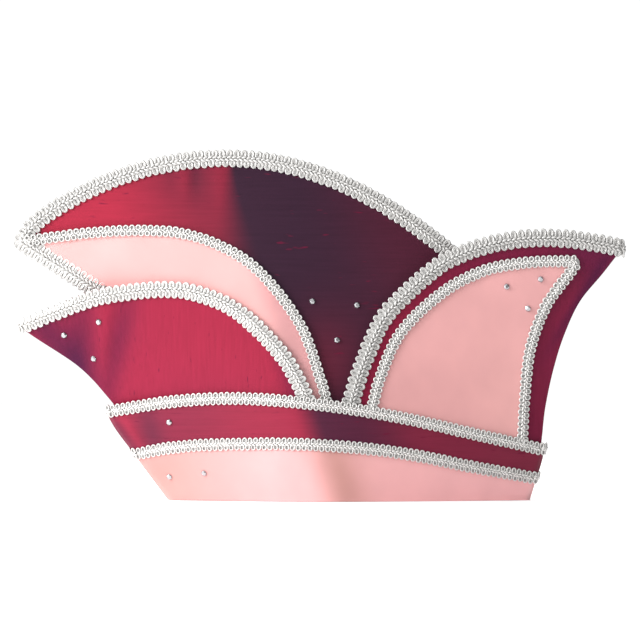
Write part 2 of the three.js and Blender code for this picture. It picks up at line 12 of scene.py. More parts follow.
import bpy
import numpy as np
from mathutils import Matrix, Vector


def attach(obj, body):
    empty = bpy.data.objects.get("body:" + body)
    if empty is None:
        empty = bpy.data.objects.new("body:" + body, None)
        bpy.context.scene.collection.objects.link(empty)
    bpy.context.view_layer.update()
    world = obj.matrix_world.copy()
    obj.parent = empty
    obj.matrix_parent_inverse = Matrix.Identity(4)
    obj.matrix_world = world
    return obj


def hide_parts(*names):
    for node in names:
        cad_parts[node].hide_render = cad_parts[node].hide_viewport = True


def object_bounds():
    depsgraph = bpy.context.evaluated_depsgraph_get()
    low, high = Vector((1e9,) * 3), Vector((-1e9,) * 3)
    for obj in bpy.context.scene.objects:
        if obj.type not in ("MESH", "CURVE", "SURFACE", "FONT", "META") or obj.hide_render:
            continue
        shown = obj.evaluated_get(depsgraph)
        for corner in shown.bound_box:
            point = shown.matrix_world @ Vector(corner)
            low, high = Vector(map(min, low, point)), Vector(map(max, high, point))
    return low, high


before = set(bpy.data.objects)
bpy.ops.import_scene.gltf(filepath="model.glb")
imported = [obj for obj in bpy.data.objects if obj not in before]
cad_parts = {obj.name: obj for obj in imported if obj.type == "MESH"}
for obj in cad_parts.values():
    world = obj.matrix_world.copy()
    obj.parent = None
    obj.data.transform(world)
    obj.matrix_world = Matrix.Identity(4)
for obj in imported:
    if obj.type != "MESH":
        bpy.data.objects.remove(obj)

cad_low, cad_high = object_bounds()
print("solids:", len(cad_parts), "box:", [round(v, 4) for v in (*cad_low, *cad_high)])

# %% [markdown]
# The camera stands level and far away, as for a catalogue picture, so the side of the cap is seen nearly
# without perspective. An orthographic camera would have none at all, but a long lens is closer to a real
# picture. Its length gives the same scale all over: 0.75 mm of the cap for each pixel.

# %% Camera at the photograph's angle
MM = 0.001
IMAGE_PIXELS = 640
PIXEL = 0.75 * MM
PHOTO_MIDDLE_COLUMN = 319
PHOTO_RIM_ROW = 500
CAMERA_DISTANCE = 6.0


def add_object(name, data):
    made = bpy.data.objects.new(name, data)
    bpy.context.scene.collection.objects.link(made)
    return made


camera_data = bpy.data.cameras.new("camera")
camera_data.lens = camera_data.sensor_width * CAMERA_DISTANCE / (IMAGE_PIXELS * PIXEL)
camera_data.clip_end = 100.0
camera = add_object("camera", camera_data)
camera.location = (
    (IMAGE_PIXELS / 2 - PHOTO_MIDDLE_COLUMN) * PIXEL,
    -CAMERA_DISTANCE,
    (PHOTO_RIM_ROW - IMAGE_PIXELS / 2) * PIXEL,
)
camera.rotation_euler = (math.radians(90), 0, 0)
bpy.context.scene.camera = camera
print("lens:", round(camera_data.lens, 1), "mm")

# %% [markdown]
# The cap stands on pale paper. A curved backdrop would hide the horizon too, but a wide plane that glows
# a little stays white from every side.
# Its material is the first node tree here. A tree is easy to read when a node, its settings and what
# feeds it are written together, so the helpers take inputs that are plain values or outputs of other
# nodes.

# %% Pale floor
FLOOR_HALF = 7.0
FLOOR_DROP = 0.2 * MM
FLOOR_GLOW = 0.2
PAPER_WHITE = (0.97, 0.97, 0.97, 1)
WHITE = (1, 1, 1, 1)


def feed(tree, target, inputs):
    for key, value in inputs.items():
        if isinstance(value, bpy.types.NodeSocket):
            tree.links.new(value, target.inputs[key])
        else:
            target.inputs[key].default_value = value


def node(tree, kind, inputs=None, **settings):
    made = tree.nodes.new(kind)
    for key, value in settings.items():
        setattr(made, key, value)
    feed(tree, made, inputs or {})
    return made


def new_material(name):
    material = bpy.data.materials.new(name)
    material.use_nodes = True
    return material, material.node_tree, material.node_tree.nodes["Principled BSDF"]


def make_floor():
    signs = ((-1, -1), (1, -1), (1, 1), (-1, 1))
    corners = [(FLOOR_HALF * i, FLOOR_HALF * j, -FLOOR_DROP) for i, j in signs]
    mesh = bpy.data.meshes.new("floor")
    mesh.from_pydata(corners, [], [(0, 1, 2, 3)])
    paper, tree, shader = new_material("pale_paper")
    glow = {"Emission Color": WHITE, "Emission Strength": FLOOR_GLOW}
    feed(tree, shader, {"Base Color": PAPER_WHITE, "Roughness": 0.8, **glow})
    mesh.materials.append(paper)
    add_object("floor", mesh)


make_floor()
print("floor:", 2 * FLOOR_HALF, "m wide")

# %% [markdown]
# In the picture the flank by the beak is light and the flank by the fan is shaded, with soft edges. One
# large round lamp at the beak end does this. Sun light would draw hard shadows of every braid loop. A
# second lamp does the same for the cap's far side.

# %% Two soft lamps
Lamp = namedtuple("Lamp", "name azimuth height distance size watts")
LAMPS = [
    Lamp("key_lamp", -60, 24, 2.4, 1.0, 46),
    Lamp("far_key_lamp", -120, 24, 2.4, 1.0, 46),
]


def make_lamp(lamp):
    data = bpy.data.lights.new(lamp.name, "AREA")
    data.shape = "DISK"
    data.size = lamp.size
    data.energy = lamp.watts
    turn, rise = math.radians(lamp.azimuth), math.radians(lamp.height)
    out = Vector((math.sin(turn) * math.cos(rise), -math.cos(turn) * math.cos(rise), math.sin(rise)))
    made = add_object(lamp.name, data)
    made.location = (cad_low + cad_high) / 2 + lamp.distance * out
    made.rotation_euler = out.to_track_quat("Z", "Y").to_euler()


for lamp in LAMPS:
    make_lamp(lamp)
print("lamps:", [lamp.name for lamp in LAMPS])

# %% [markdown]
# The rest of the light comes from a white surround, as from the walls of a small studio. It is brighter
# at the beak end and goes dark towards the fan end, as if a black screen stood there. An even surround
# would flatten the folds, and a picture of a real studio would be one more file to carry.

# %% White surround with a dark screen
SURROUND_AT_BEAK_END, SURROUND_BEHIND, SURROUND_AT_FAN_END = 1.8, 1.05, 0.0
SCREEN_FROM, SCREEN_FULL = 0.06, 0.46


def between(tree, value, from_range, to_range):
    limits = {1: from_range[0], 2: from_range[1], 3: to_range[0], 4: to_range[1]}
    return node(tree, "ShaderNodeMapRange", {"Value": value, **limits}).outputs[0]


def make_surround():
    world = bpy.data.worlds.new("surround")
    world.use_nodes = True
    tree = world.node_tree
    tree.nodes.clear()
    way = node(tree, "ShaderNodeTexCoord").outputs["Generated"]
    x = node(tree, "ShaderNodeSeparateXYZ", {0: way}).outputs[0]
    added = between(tree, x, (-1.0, 0.0), (SURROUND_AT_BEAK_END - SURROUND_BEHIND, 0.0))
    left = between(tree, x, (SCREEN_FROM, SCREEN_FULL), (SURROUND_BEHIND, SURROUND_AT_FAN_END))
    light = node(tree, "ShaderNodeMath", {0: added, 1: left}, operation="ADD").outputs[0]
    white = node(tree, "ShaderNodeBackground", {"Color": WHITE, "Strength": light})
    node(tree, "ShaderNodeOutputWorld", {"Surface": white.outputs[0]})
    bpy.context.scene.world = world


make_surround()
bpy.context.scene.view_settings.view_transform = "Standard"
bpy.context.scene.view_settings.look = "None"
print("surround:", SURROUND_AT_BEAK_END, "at the beak end,", SURROUND_AT_FAN_END, "at the fan end")

# %% [markdown]
# Shot silk is woven from threads of two colours, so it shows crimson where the cloth is turned one way
# and plum where it is turned the other. Here that change is painted sheen and painted shade: crimson for
# the red threads' sheen on the lit flank, plum for the shaded flank. A shader could read the angle of
# view, but the colours would then slide over the cap as the camera moves. Here each piece carries an
# attribute, turned, that holds this painted sheen and shade and the folds' painted shade, and the material
# mixes the two colours by it. Thick places in the thread, called slubs, show as short streaks. They run
# along the crown and the band and up the flaps, which are cut across the grain. Noise that is stretched
# one way makes both.

# %% Shot silk
# Crimson is the red threads' painted sheen on the lit flank, plum the colour of the shaded flank.
CROWN_CRIMSON, CROWN_PLUM = (0.345, 0.0185, 0.0435, 1), (0.033, 0.0115, 0.026, 1)
FLAP_CRIMSON, FLAP_PLUM = (0.311, 0.0165, 0.0455, 1), (0.050, 0.0045, 0.034, 1)
BAND_CRIMSON, BAND_PLUM = (0.311, 0.021, 0.050, 1), (0.050, 0.0148, 0.036, 1)
SLUB_RED = (0.13, 0.006, 0.030, 1)
NOISE_RANGE, STREAK_SHADE = (0.3, 0.7), (0.93, 1.07)
SLUB_RANGE, SLUB_STRENGTH = (0.70, 0.78), (0.0, 0.70)
SILK_WEAVE = (900, 900, 2600)
Grain = namedtuple("Grain", "threads slubs")
ALONG = Grain((28, 28, 620), (75, 75, 330))
UPRIGHT = Grain((620, 620, 28), (330, 330, 110))


def stretched_noise(tree, scale, detail):
    place = node(tree, "ShaderNodeTexCoord").outputs["Object"]
    sized = node(tree, "ShaderNodeMapping", {"Vector": place, "Scale": scale}).outputs[0]
    return node(tree, "ShaderNodeTexNoise", {"Vector": sized, "Scale": 1.0, "Detail": detail}).outputs[0]


def mixed(tree, share, first, second, blend="MIX"):
    inputs = {0: share, 6: first, 7: second}
    return node(tree, "ShaderNodeMix", inputs, data_type="RGBA", blend_type=blend).outputs[2]


def bump(tree, height, strength, depth, under=None):
    inputs = {"Height": height, "Strength": strength, "Distance": depth}
    if under is not None:
        inputs["Normal"] = under
    return node(tree, "ShaderNodeBump", inputs).outputs[0]


# The turned attribute holds painted sheen and painted shade.
def painted_sheen_and_shade_colour(tree, first, second):
    turned = node(tree, "ShaderNodeAttribute", attribute_name="turned")
    return mixed(tree, turned.outputs["Fac"], first, second)


def shot_silk(name, crimson, plum, grain):
    material, tree, shader = new_material(name)
    threads = stretched_noise(tree, grain.threads, 3.0)
    slubs = stretched_noise(tree, grain.slubs, 1.0)
    weave = stretched_noise(tree, SILK_WEAVE, 2.0)
    streaks = between(tree, threads, NOISE_RANGE, STREAK_SHADE)
    streaked = mixed(tree, 1.0, painted_sheen_and_shade_colour(tree, crimson, plum), streaks, "MULTIPLY")
    thick = between(tree, slubs, SLUB_RANGE, SLUB_STRENGTH)
    feed(tree, shader, {
        "Base Color": mixed(tree, thick, streaked, SLUB_RED),
        "Normal": bump(tree, threads, 0.14, 0.4 * MM, bump(tree, weave, 0.10, 0.3 * MM)),
        "Roughness": 0.46,
        "Specular IOR Level": 0.12,
    })
    return material


CROWN_SILK = shot_silk("crown_silk", CROWN_CRIMSON, CROWN_PLUM, ALONG)
FLAP_SILK = shot_silk("flap_silk", FLAP_CRIMSON, FLAP_PLUM, UPRIGHT)
BAND_SILK = shot_silk("band_silk", BAND_CRIMSON, BAND_PLUM, ALONG)
print("materials:", CROWN_SILK.name, FLAP_SILK.name, BAND_SILK.name)

# %% [markdown]
# The pink pieces are smooth satin. Its threads lie flat, so the finish is an even, soft gloss with hardly
# any grain: a fine weave, a faint change of colour and slight waves from the stiffener behind it. Waves
# could be modelled, but they are too low to change the outline, so bump is enough. Past the crease and in
# the folds the satin gets painted shade: the same attribute as the silk mixes its pink with a darker,
# shaded copy of it. The band has a lighter pink that broad painted shade darkens, least at the fan end, so
# that end looks more lit.

# %% Pink satin
# The second colour of each pair is a darker, shaded copy of the first, mixed in as painted shade.
PINK, SHADED_PINK = (0.80, 0.405, 0.392, 1), (0.50, 0.24, 0.25, 1)
BAND_LIT_PINK, BAND_SHADED_PINK = (0.93, 0.475, 0.49, 1), (0.50, 0.245, 0.215, 1)
CLOUDS, CLOUD_SHADE = (38, 38, 30), (0.95, 1.03)
SATIN_WEAVE = (1500, 1500, 2400)


def pink_satin(name, pink, shaded_pink):
    material, tree, shader = new_material(name)
    clouds = stretched_noise(tree, CLOUDS, 2.0)
    weave = stretched_noise(tree, SATIN_WEAVE, 2.0)
    shade = between(tree, clouds, NOISE_RANGE, CLOUD_SHADE)
    feed(tree, shader, {
        "Base Color": mixed(tree, 1.0, painted_sheen_and_shade_colour(tree, pink, shaded_pink), shade, "MULTIPLY"),
        "Normal": bump(tree, clouds, 0.10, 1.0 * MM, bump(tree, weave, 0.06, 0.2 * MM)),
        "Roughness": 0.38,
        "Specular IOR Level": 0.3,
    })
    return material


SATIN = pink_satin("pink_satin", PINK, SHADED_PINK)
BAND_SATIN = pink_satin("band_satin", BAND_LIT_PINK, BAND_SHADED_PINK)
print("materials:", SATIN.name, BAND_SATIN.name)

# %% [markdown]
# Gimp braid is cord wound with silvery thread. It is neither white nor a mirror: a pale, partly metallic
# surface with a fine winding that breaks up the highlights. The winding is far too fine to model, so noise
# and bump stand for it. Each kind of braid on the cap has its own tones: one for the cord loops, one for
# the
# plait along the middle and one for the woven ground that shows between them. The tones hold painted
# shade:
# the fan braid is darker for the shaded fan end, the narrow braid's dark ground is the shade in the gaps
# between its loops, and the wide braids' lighter ground is painted light that softens the shade in theirs.

# %% Silver cord, plait and ground
Silver = namedtuple("Silver", "cord plait ground")
# Tones hold painted shade and light: the fan braid is darker for the shaded fan end, the fine ground dark
# for shade.
SILVER_TONES_WITH_PAINTED_SHADE = {
    "broad": Silver(0.69, 0.73, 0.80),
    "ridge": Silver(0.63, 0.64, 0.74),
    "fan": Silver(0.56, 0.57, 0.68),
    "fine": Silver(0.69, 0.82, 0.45),
}
SILVER_TINT = np.array([1.0, 0.985, 0.96])
CORD_WINDING, CORD_SHADE = (1700, 1700, 1700), (0.84, 1.08)
GROUND_WEAVE, GROUND_SHADE = (1400, 1400, 1400), (0.55, 1.15)


def silver_thread(name, tone, fineness, shades):
    material, tree, shader = new_material(name)
    winding = stretched_noise(tree, fineness, 2.0)
    shade = between(tree, winding, NOISE_RANGE, shades)
    feed(tree, shader, {"Base Color": mixed(tree, 1.0, (*(tone * SILVER_TINT), 1), shade, "MULTIPLY")})
    return material, tree, shader, winding


def silver_cord(name, tone):
    material, tree, shader, winding = silver_thread(name, tone, CORD_WINDING, CORD_SHADE)
    wound = bump(tree, winding, 0.35, 0.25 * MM)
    feed(tree, shader, {"Normal": wound, "Metallic": 0.25, "Roughness": 0.34})
    return material


def silver_ground(name, tone):
    material, tree, shader, _ = silver_thread(name, tone, GROUND_WEAVE, GROUND_SHADE)
    feed(tree, shader, {"Roughness": 0.6})
    return material


CORDS = {kind: silver_cord(f"{kind}_silver_cord", tones.cord) for kind, tones in SILVER_TONES_WITH_PAINTED_SHADE.items()}
PLAITS = {kind: silver_cord(f"{kind}_silver_plait", tones.plait) for kind, tones in SILVER_TONES_WITH_PAINTED_SHADE.items()}
GROUNDS = {kind: silver_ground(f"{kind}_silver_ground", tones.ground) for kind, tones in SILVER_TONES_WITH_PAINTED_SHADE.items()}
print("materials:", len(CORDS) + len(PLAITS) + len(GROUNDS), "for silver braid")

# %% [markdown]
# Seen from the side, the cap is a set of smooth lines: the upper edges of the two bands and the seams at
# its ends. Each line is a short table with a row where the bend changes. Curve objects could hold the
# same lines, but a function tells the height at any place, which the cloth grids need. From here on sizes
# are in millimetres. They become metres when a mesh is made.

# %% Lines of the bands and the end seams
BAND_TUCK = 13
BandRow = namedtuple("BandRow", "x upper lower")
BAND_LINES = [
    BandRow(-160, 66, 29),
    BandRow(-110, 74, 39.5),
    BandRow(-60, 76.5, 42.5),
    BandRow(0, 72, 42),
    BandRow(60, 62.5, 36),
    BandRow(115, 50, 25.2),
    BandRow(170, 37.5, 15),
]
SeamRow = namedtuple("SeamRow", "z beak fan")
END_SEAMS = [
    SeamRow(0, -99.5, 154.5),
    SeamRow(35, -125.5, 165),
    SeamRow(70, -152, 169.5),
    SeamRow(100, -180, 176),
    SeamRow(125, -217, 184),
    SeamRow(150, -251, 196),
    SeamRow(170, -280, 212.5),
    SeamRow(190, -309, 228),
]
BandEnd = namedtuple("BandEnd", "z x")
BAND_BEAK_END = [
    BandEnd(0, -109.5),
    BandEnd(35, -135.5),
    BandEnd(60, -153),
    BandEnd(70, -156),
]


def read_table(rows, column, at):
    table = np.array(rows, float)
    key, value = table[:, 0], table[:, column]
    chord = np.diff(value) / np.diff(key)
    slope = np.concatenate([chord[:1], (chord[:-1] + chord[1:]) / 2, chord[-1:]])
    i = np.clip(np.searchsorted(key, at) - 1, 0, len(key) - 2)
    span = key[i + 1] - key[i]
    share = (at - key[i]) / span
    t = np.clip(share, 0, 1)
    curve = value[i] + (value[i + 1] - value[i]) * t * t * (3 - 2 * t)
    curve = curve + span * t * (1 - t) ** 2 * slope[i] + span * t * t * (t - 1) * slope[i + 1]
    return curve + (share - t) * span * np.where(share < 0, slope[i], slope[i + 1])


def upper_line(x):
    return read_table(BAND_LINES, 1, x)


def lower_line(x):
    return read_table(BAND_LINES, 2, x)


def band_foot(x):
    return upper_line(x) - BAND_TUCK


def hull_end(end, z):
    return read_table(END_SEAMS, 1 if end == "beak" else 2, z)


def band_end(end, z):
    return read_table(BAND_BEAK_END, 1, z) if end == "beak" else hull_end("fan", z)


print("band lines at the middle:", round(float(upper_line(0)), 1), round(float(lower_line(0)), 1))

# %% [markdown]
# The ridge is the highest line of the crown. It falls slowly from the crease to both ends and drops
# faster just at the beak's tip. A power of the distance gives such a fall with two or three numbers,
# where a table would need many rows. The crease is the soft fold from the rim up to the ridge where each
# side turns from the beak's flank to the fan's.

# %% Ridge, crease and beak
RIDGE_HEIGHT, RIDGE_FALL = 261, 67.5
CREASE_AT_RIM, CREASE_AT_RIDGE = 8, -69
Fall = namedtuple("Fall", "run power tip_fall tip_power")
RIDGE_TO_BEAK = Fall(159.2, 2.1, 10.5, 25)
RIDGE_TO_FAN = Fall(165, 2, 0, 1)
BEAK_TIP = np.array([CREASE_AT_RIDGE - RIDGE_TO_BEAK.run, RIDGE_HEIGHT - RIDGE_FALL])
BEAK_ROOT = np.array([-166.5, 151.5])
BEAK_FOOT = np.array([-132, 54])
FAN_SHOULDER = np.array([162, 127.8])
FAN_FOOT = np.array([146, 30])


def lerp(first, second, share):
    return first + (second - first) * share


def crease_x(z):
    return lerp(CREASE_AT_RIM, CREASE_AT_RIDGE, z / RIDGE_HEIGHT)


def ridge_z(x):
    def height(fall):
        share = np.abs(x - CREASE_AT_RIDGE) / fall.run
        slow = (RIDGE_FALL - fall.tip_fall) * share**fall.power
        return RIDGE_HEIGHT - slow - fall.tip_fall * share**fall.tip_power

    return np.where(x < CREASE_AT_RIDGE, height(RIDGE_TO_BEAK), height(RIDGE_TO_FAN))


def ridge_slope(x):
    return ridge_z(x + 0.5) - ridge_z(x - 0.5)


print("beak tip:", BEAK_TIP, "ridge over the rim's middle:", round(float(ridge_z(0)), 1))

# %% [markdown]
# Stiffened silk is never quite flat. A few soft folds run up the cloth where it is turned over the
# stiffener: by the crease under the ridge, near the beak flap's end and at the ends of the bands. Cloth
# simulation would fold it too, but not in the places that the picture shows. So each fold is a row here:
# a soft oval that rises or sinks a little, and its shade is painted on the cloth, dark in the troughs and
# light on the crests. Rows without a rise are only painted shade or painted light.

# %% Soft folds in the cloth
# shade: painted shade on the turned attribute where positive, painted light where negative
Fold = namedtuple("Fold", "on x z half_width half_height lean rise shade")
FOLDS = [
    Fold("crown", -113, 247, 5, 14, 0.0, 0.0, 0.10),
    Fold("crown", -101, 243, 5, 16, 0.0, 0.3, -0.14),
    Fold("crown", -93, 246, 6, 18, 0.0, -0.4, 0.20),
    Fold("crown", -75, 243, 6, 22, 0.0, 0.3, -0.12),
    Fold("crown", 6, 102, 28, 38, 0.0, 0.0, -0.19),
    Fold("crown", -105, 238, 50, 22, 0.0, 0.0, 0.10),
    Fold("beak_flap", -104, 80, 80, 28, 0.0, 0.0, 0.12),
    Fold("beak_flap", -203, 124, 19, 60, -0.6, 0.0, 0.64),
    Fold("beak_flap", -178, 112, 12, 60, 0.0, -0.6, 0.42),
    Fold("beak_flap", -161, 112, 5, 60, 0.0, 0.8, -0.12),
    Fold("beak_flap", -151, 114, 10, 55, 0.24, -0.7, 0.42),
    Fold("beak_flap", -172, 127, 48, 30, 0.0, 0.0, 0.17),
    Fold("upper_band", -150, 52, 6, 20, -0.75, 0.0, 0.46),
    Fold("upper_band", -140.5, 52, 4, 20, -0.59, 0.8, -0.17),
    Fold("upper_band", -126, 52, 10, 24, -0.27, -0.8, 0.36),
    Fold("upper_band", -25, 58, 22, 40, 0.0, 0.0, 0.08),
    Fold("upper_band", -104, 58, 52, 60, 0.0, 0.0, 0.40),
    Fold("lower_band", -10, 20, 150, 90, 0.0, 0.0, 0.33),
    Fold("lower_band", -125, 15, 55, 60, 0.0, 0.0, 0.68),
    Fold("lower_band", 16, 20, 16, 60, -0.3, 0.0, 0.58),
    Fold("lower_band", 143, 18, 6, 18, 0.3, 0.5, 0.0),
    Fold("lower_band", 131, 18, 6, 16, 0.3, -0.4, 0.0),
    Fold("fan_flap", 50, 120, 30, 90, 0.4, 0.0, -0.30),
    Fold("fan_flap", 165, 85, 8, 40, 0.1, 0.0, -0.05),
    Fold("fan_flap", 196, 150, 5, 34, 0.62, 0.0, 0.28),
    Fold("fan_flap", 186, 148, 5, 22, 0.50, 0.0, -0.06),
    Fold("fan_flap", 205, 186, 26, 26, 0.0, 0.0, 0.20),
    Fold("fan_inlay", 152, 66, 40, 50, 0.0, 0.0, -0.36),
]


def fold_share(fold, x, z):
    along = (x - fold.x - fold.lean * (z - fold.z)) / fold.half_width
    upward = (z - fold.z) / fold.half_height
    return np.exp(-along * along - upward * upward)


def fold_rise(on_crown, x, z):
    return sum(f.rise * fold_share(f, x, z) for f in FOLDS if f.rise and (f.on == "crown") == on_crown)


def painted_fold_shade(piece, x, z):
    return sum(f.shade * fold_share(f, x, z) for f in FOLDS if f.on == piece)


print("folds:", sum(1 for f in FOLDS if f.rise), "raised or sunk,", len(FOLDS), "in all")

# %% [markdown]
# The cloth itself is a set of half-widths: how far it stands from the middle plane at a place seen from
# the side. The hull is the outside of the flaps and bands. It is full at the crease and closes at the end
# seams. The crown stands inside it and closes at the ridge and the beak as well. Subdivided cages could
# give a like form, but with these rules every layer knows exactly where the layer below it is.

# %% Half-widths of the hull, the bands and the crown
RIM_HALF_WIDTH = 54
CROWN_INSET = 3
SIDES_MEET_AT, SIDE_FULLNESS = 290, 1.35
CREASE_ROUNDING, FLANK_BULGE = 0.12, 0.3
RIDGE_FADE, BEAK_FADE = 30, 32
LAYER_GAP, SEAM_GAP = 0.5, 0.3
PANEL_OUTER, PANEL_INNER = 1.2, -0.6
CROWN_SEAT = PANEL_OUTER - PANEL_INNER + LAYER_GAP


def leaning_in(z):
    return 1 - np.clip(z / SIDES_MEET_AT, 0, 1) ** SIDE_FULLNESS


def flank(x, z, beak_end, fan_end):
    crease = crease_x(z)
    end = np.where(x < crease, beak_end, fan_end)
    away = 1 - np.clip((x - end) / (crease - end), 0, 1)
    turn = np.hypot(away, CREASE_ROUNDING) - CREASE_ROUNDING
    turn = turn / (np.hypot(1, CREASE_ROUNDING) - CREASE_ROUNDING)
    return 1 - lerp(turn, away * away, FLANK_BULGE)


def sides_width(x, z, end_at):
    width = RIM_HALF_WIDTH * leaning_in(z) * flank(x, z, end_at("beak", z), end_at("fan", z))
    return width + fold_rise(False, x, z)


def hull_width(x, z):
    return sides_width(x, z, hull_end)


def band_width(x, z):
    return sides_width(x, z, band_end)


def from_line(x, z, start, end):
    run = end - start
    share = np.clip(((x - start[0]) * run[0] + (z - start[1]) * run[1]) / (run @ run), 0, 1)
    return np.hypot(x - start[0] - share * run[0], z - start[1] - share * run[1])


def on_line(start, end, z):
    return lerp(start[0], end[0], (z - start[1]) / (end[1] - start[1]))


def crown_width(x, z):
    ridge = np.maximum(ridge_z(x) - z, 0) / np.hypot(1, ridge_slope(x))
    beak = np.minimum(from_line(x, z, BEAK_TIP, BEAK_ROOT), from_line(x, z, BEAK_ROOT, BEAK_FOOT))
    fade = ridge / np.hypot(ridge, RIDGE_FADE) * beak / np.hypot(beak, BEAK_FADE)
    sides = flank(x, z, on_line(BEAK_FOOT, BEAK_TIP, z), on_line(FAN_FOOT, FAN_SHOULDER, z))
    faded = (RIM_HALF_WIDTH - CROWN_INSET) * leaning_in(z) * sides * fade + fold_rise(True, x, z)
    seam = np.maximum(faded, hull_width(x, z) - CROWN_SEAT)
    return lerp(seam, faded, np.clip((z - band_foot(x)) / BAND_TUCK, 0, 1))


print("rim half-width at the crease:", round(float(hull_width(CREASE_AT_RIM, 0)), 2))

# %% [markdown]
# A cloth wall is two grids of points, its outside and its inside, joined round the border by a rounded
# rim. A Solidify modifier makes such a wall from one sheet, but it measures along the normals, so where
# panels meet at a seam the layers would cross. Two grids keep each layer where its solid is.

# %% Closed cloth walls from two grids
LEFT, RIGHT = -1, 1
SIDE_NAMES = {LEFT: "left", RIGHT: "right"}
OUTWARD_ORDER = {LEFT: slice(None), RIGHT: slice(None, None, -1)}
RIM_ROUNDING = 0.35


def unit(vectors):
    return vectors / np.maximum(np.linalg.norm(vectors, axis=-1, keepdims=True), 1e-9)


def lay(form, x, z, side, offset):
    out = np.maximum(form(x, z) + offset, SEAM_GAP / 2)
    return np.stack([x + 0 * out, side * out, z + 0 * out], axis=-1)


def border_of(columns, rows, loop):
    if loop:
        around = [(i % columns, 0) for i in range(columns + 1)]
        back = [(i % columns, rows - 1) for i in range(columns, -1, -1)]
        return [around, back]
    around = [(i, 0) for i in range(columns)] + [(columns - 1, j) for j in range(1, rows)]
    around += [(i, rows - 1) for i in range(columns - 2, -1, -1)]
    around += [(0, j) for j in range(rows - 2, -1, -1)]
    return [around]


def wall_arrays(outer, inner, loop=False):
    columns, rows = outer.shape[:2]
    count = columns * rows
    place = np.arange(count).reshape(columns, rows)
    right = np.roll(place, -1, axis=0) if loop else place[1:]
    left = place if loop else place[:-1]
    face = np.stack([left[:, :-1], right[:, :-1], right[:, 1:], left[:, 1:]], axis=-1).reshape(-1, 4)
    faces = [face, face[:, ::-1] + count]
    middle = (outer + inner) / 2
    rim_points, rim_source = [], []
    for around in border_of(columns, rows, loop):
        i, j = np.array(around[:-1]).T
        near_i = i if loop else np.clip(i, 1, columns - 2)
        step = unit(middle[i, j] - middle[near_i, np.clip(j, 1, rows - 2)])
        thick = np.linalg.norm(outer[i, j] - inner[i, j], axis=1, keepdims=True)
        first = 2 * count + sum(len(points) for points in rim_points)
        rim_points.append(middle[i, j] + RIM_ROUNDING * thick * step)
        rim_source.append(place[i, j])
        here = np.arange(len(i))
        after = np.roll(here, -1)
        a, b = place[i, j], place[i[after], j[after]]
        faces.append(np.stack([b, a, first + here, first + after], axis=-1))
        faces.append(np.stack([first + after, first + here, count + a, count + b], axis=-1))
    points = np.concatenate([outer.reshape(-1, 3), inner.reshape(-1, 3), *rim_points])
    source = np.concatenate([np.arange(count), np.arange(count), *rim_source])
    return points, np.concatenate(faces), source


print("border of a grid of 4 by 3 points:", len(border_of(4, 3, False)[0]) - 1, "points")

# %% [markdown]
# The silk goes from crimson to plum as it turns past the crease: painted sheen on the lit flank and
# painted shade beyond. On the crown the change is sharp at the ridge and softer lower down, and painted
# shade darkens the crimson slowly on the way to it. The flaps and bands turn close to the crease and keep
# more red beyond it. The satin pieces get painted shade by the same rule. The folds add their own painted
# light and shade. The change could be painted on the mesh by hand, but a rule is easier to adjust.

# %% Painted sheen and shade of the silk and satin
# A turn is painted sheen and shade: the step at the crease, the shade before it and how deep it goes.
Turn = namedtuple("Turn", "start finish spread tail full rest darkest reach")
PAINTED_SHEEN_AND_SHADE_RULES = {
    "crown": Turn(1, 3, 0.52, 0.47, 1.0, 0.78, 12, 75),
    "crown_stripe": Turn(-15, 7, 0.0, 0.0, 0.72, 0.72, 0, 1),
    "beak_flap": Turn(-18, 12, 0.0, 0.0, 0.88, 0.88, 0, 1),
    "fan_flap": Turn(-8, 12, 0.0, 0.0, 0.57, 0.57, 0, 1),
    "fan_inlay": Turn(-8, 12, 0.0, 0.0, 0.42, 0.42, 0, 1),
    "upper_band": Turn(-9, 13, 0.0, 0.0, 0.88, 0.48, 16, 50),
    "lower_band": Turn(2, 22, 0.0, 0.0, 0.0, 0.0, 0, 1),
}
TAIL_FROM, TAIL_TO = -104, -22


def smooth(share):
    t = np.clip(share, 0, 1)
    return t * t * (3 - 2 * t)


def painted_sheen_and_shade_share(piece, x, z):
    turn = PAINTED_SHEEN_AND_SHADE_RULES[piece]
    past = x - crease_x(z)
    spread = turn.spread * np.maximum(ridge_z(x) - z, 0)
    step = smooth((past - turn.start + spread) / (turn.finish - turn.start + spread))
    tail = turn.tail * smooth((past - TAIL_FROM) / (TAIL_TO - TAIL_FROM))
    depth = lerp(turn.rest, turn.full, np.exp(-(((past - turn.darkest) / turn.reach) ** 4)))
    return np.clip(1 - (1 - tail) * (1 - step * depth) + painted_fold_shade(piece, x, z), 0, 1)


print("crown, turned from beak to fan:", painted_sheen_and_shade_share("crown", np.linspace(-200, 100, 4), 180).round(2))

# %% [markdown]
# Each panel is sewn as a left and a right piece. A Mirror modifier could make the second, but each side
# has its own solid to stand for, so both are made by name. The real ones were cut flat, so the size and
# area of each piece are measured along its middle and printed, and the piece is parented to the root body.

# %% Make and measure a pair of panels
def mesh_from(name, points, faces, material):
    mesh = bpy.data.meshes.new(name)
    mesh.from_pydata((points * MM).tolist(), [], faces.tolist())
    mesh.materials.append(material)
    mesh.shade_smooth()
    return add_object(name, mesh)


# The turned attribute holds painted sheen and painted shade.
def add_painted_sheen_and_shade(piece, values):
    layer = piece.data.attributes.new("turned", "FLOAT", "POINT")
    layer.data.foreach_set("value", np.asarray(values, np.float32))


def cut_size(grid):
    along = np.linalg.norm(np.diff(grid, axis=0), axis=2).sum(axis=0).max()
    upward = np.linalg.norm(np.diff(grid, axis=1), axis=2).sum(axis=1).max()
    first = grid[1:, :-1] - grid[:-1, :-1]
    second = grid[:-1, 1:] - grid[:-1, :-1]
    area = np.linalg.norm(np.cross(first, second), axis=2).sum()
    return along * MM, upward * MM, area * MM * MM


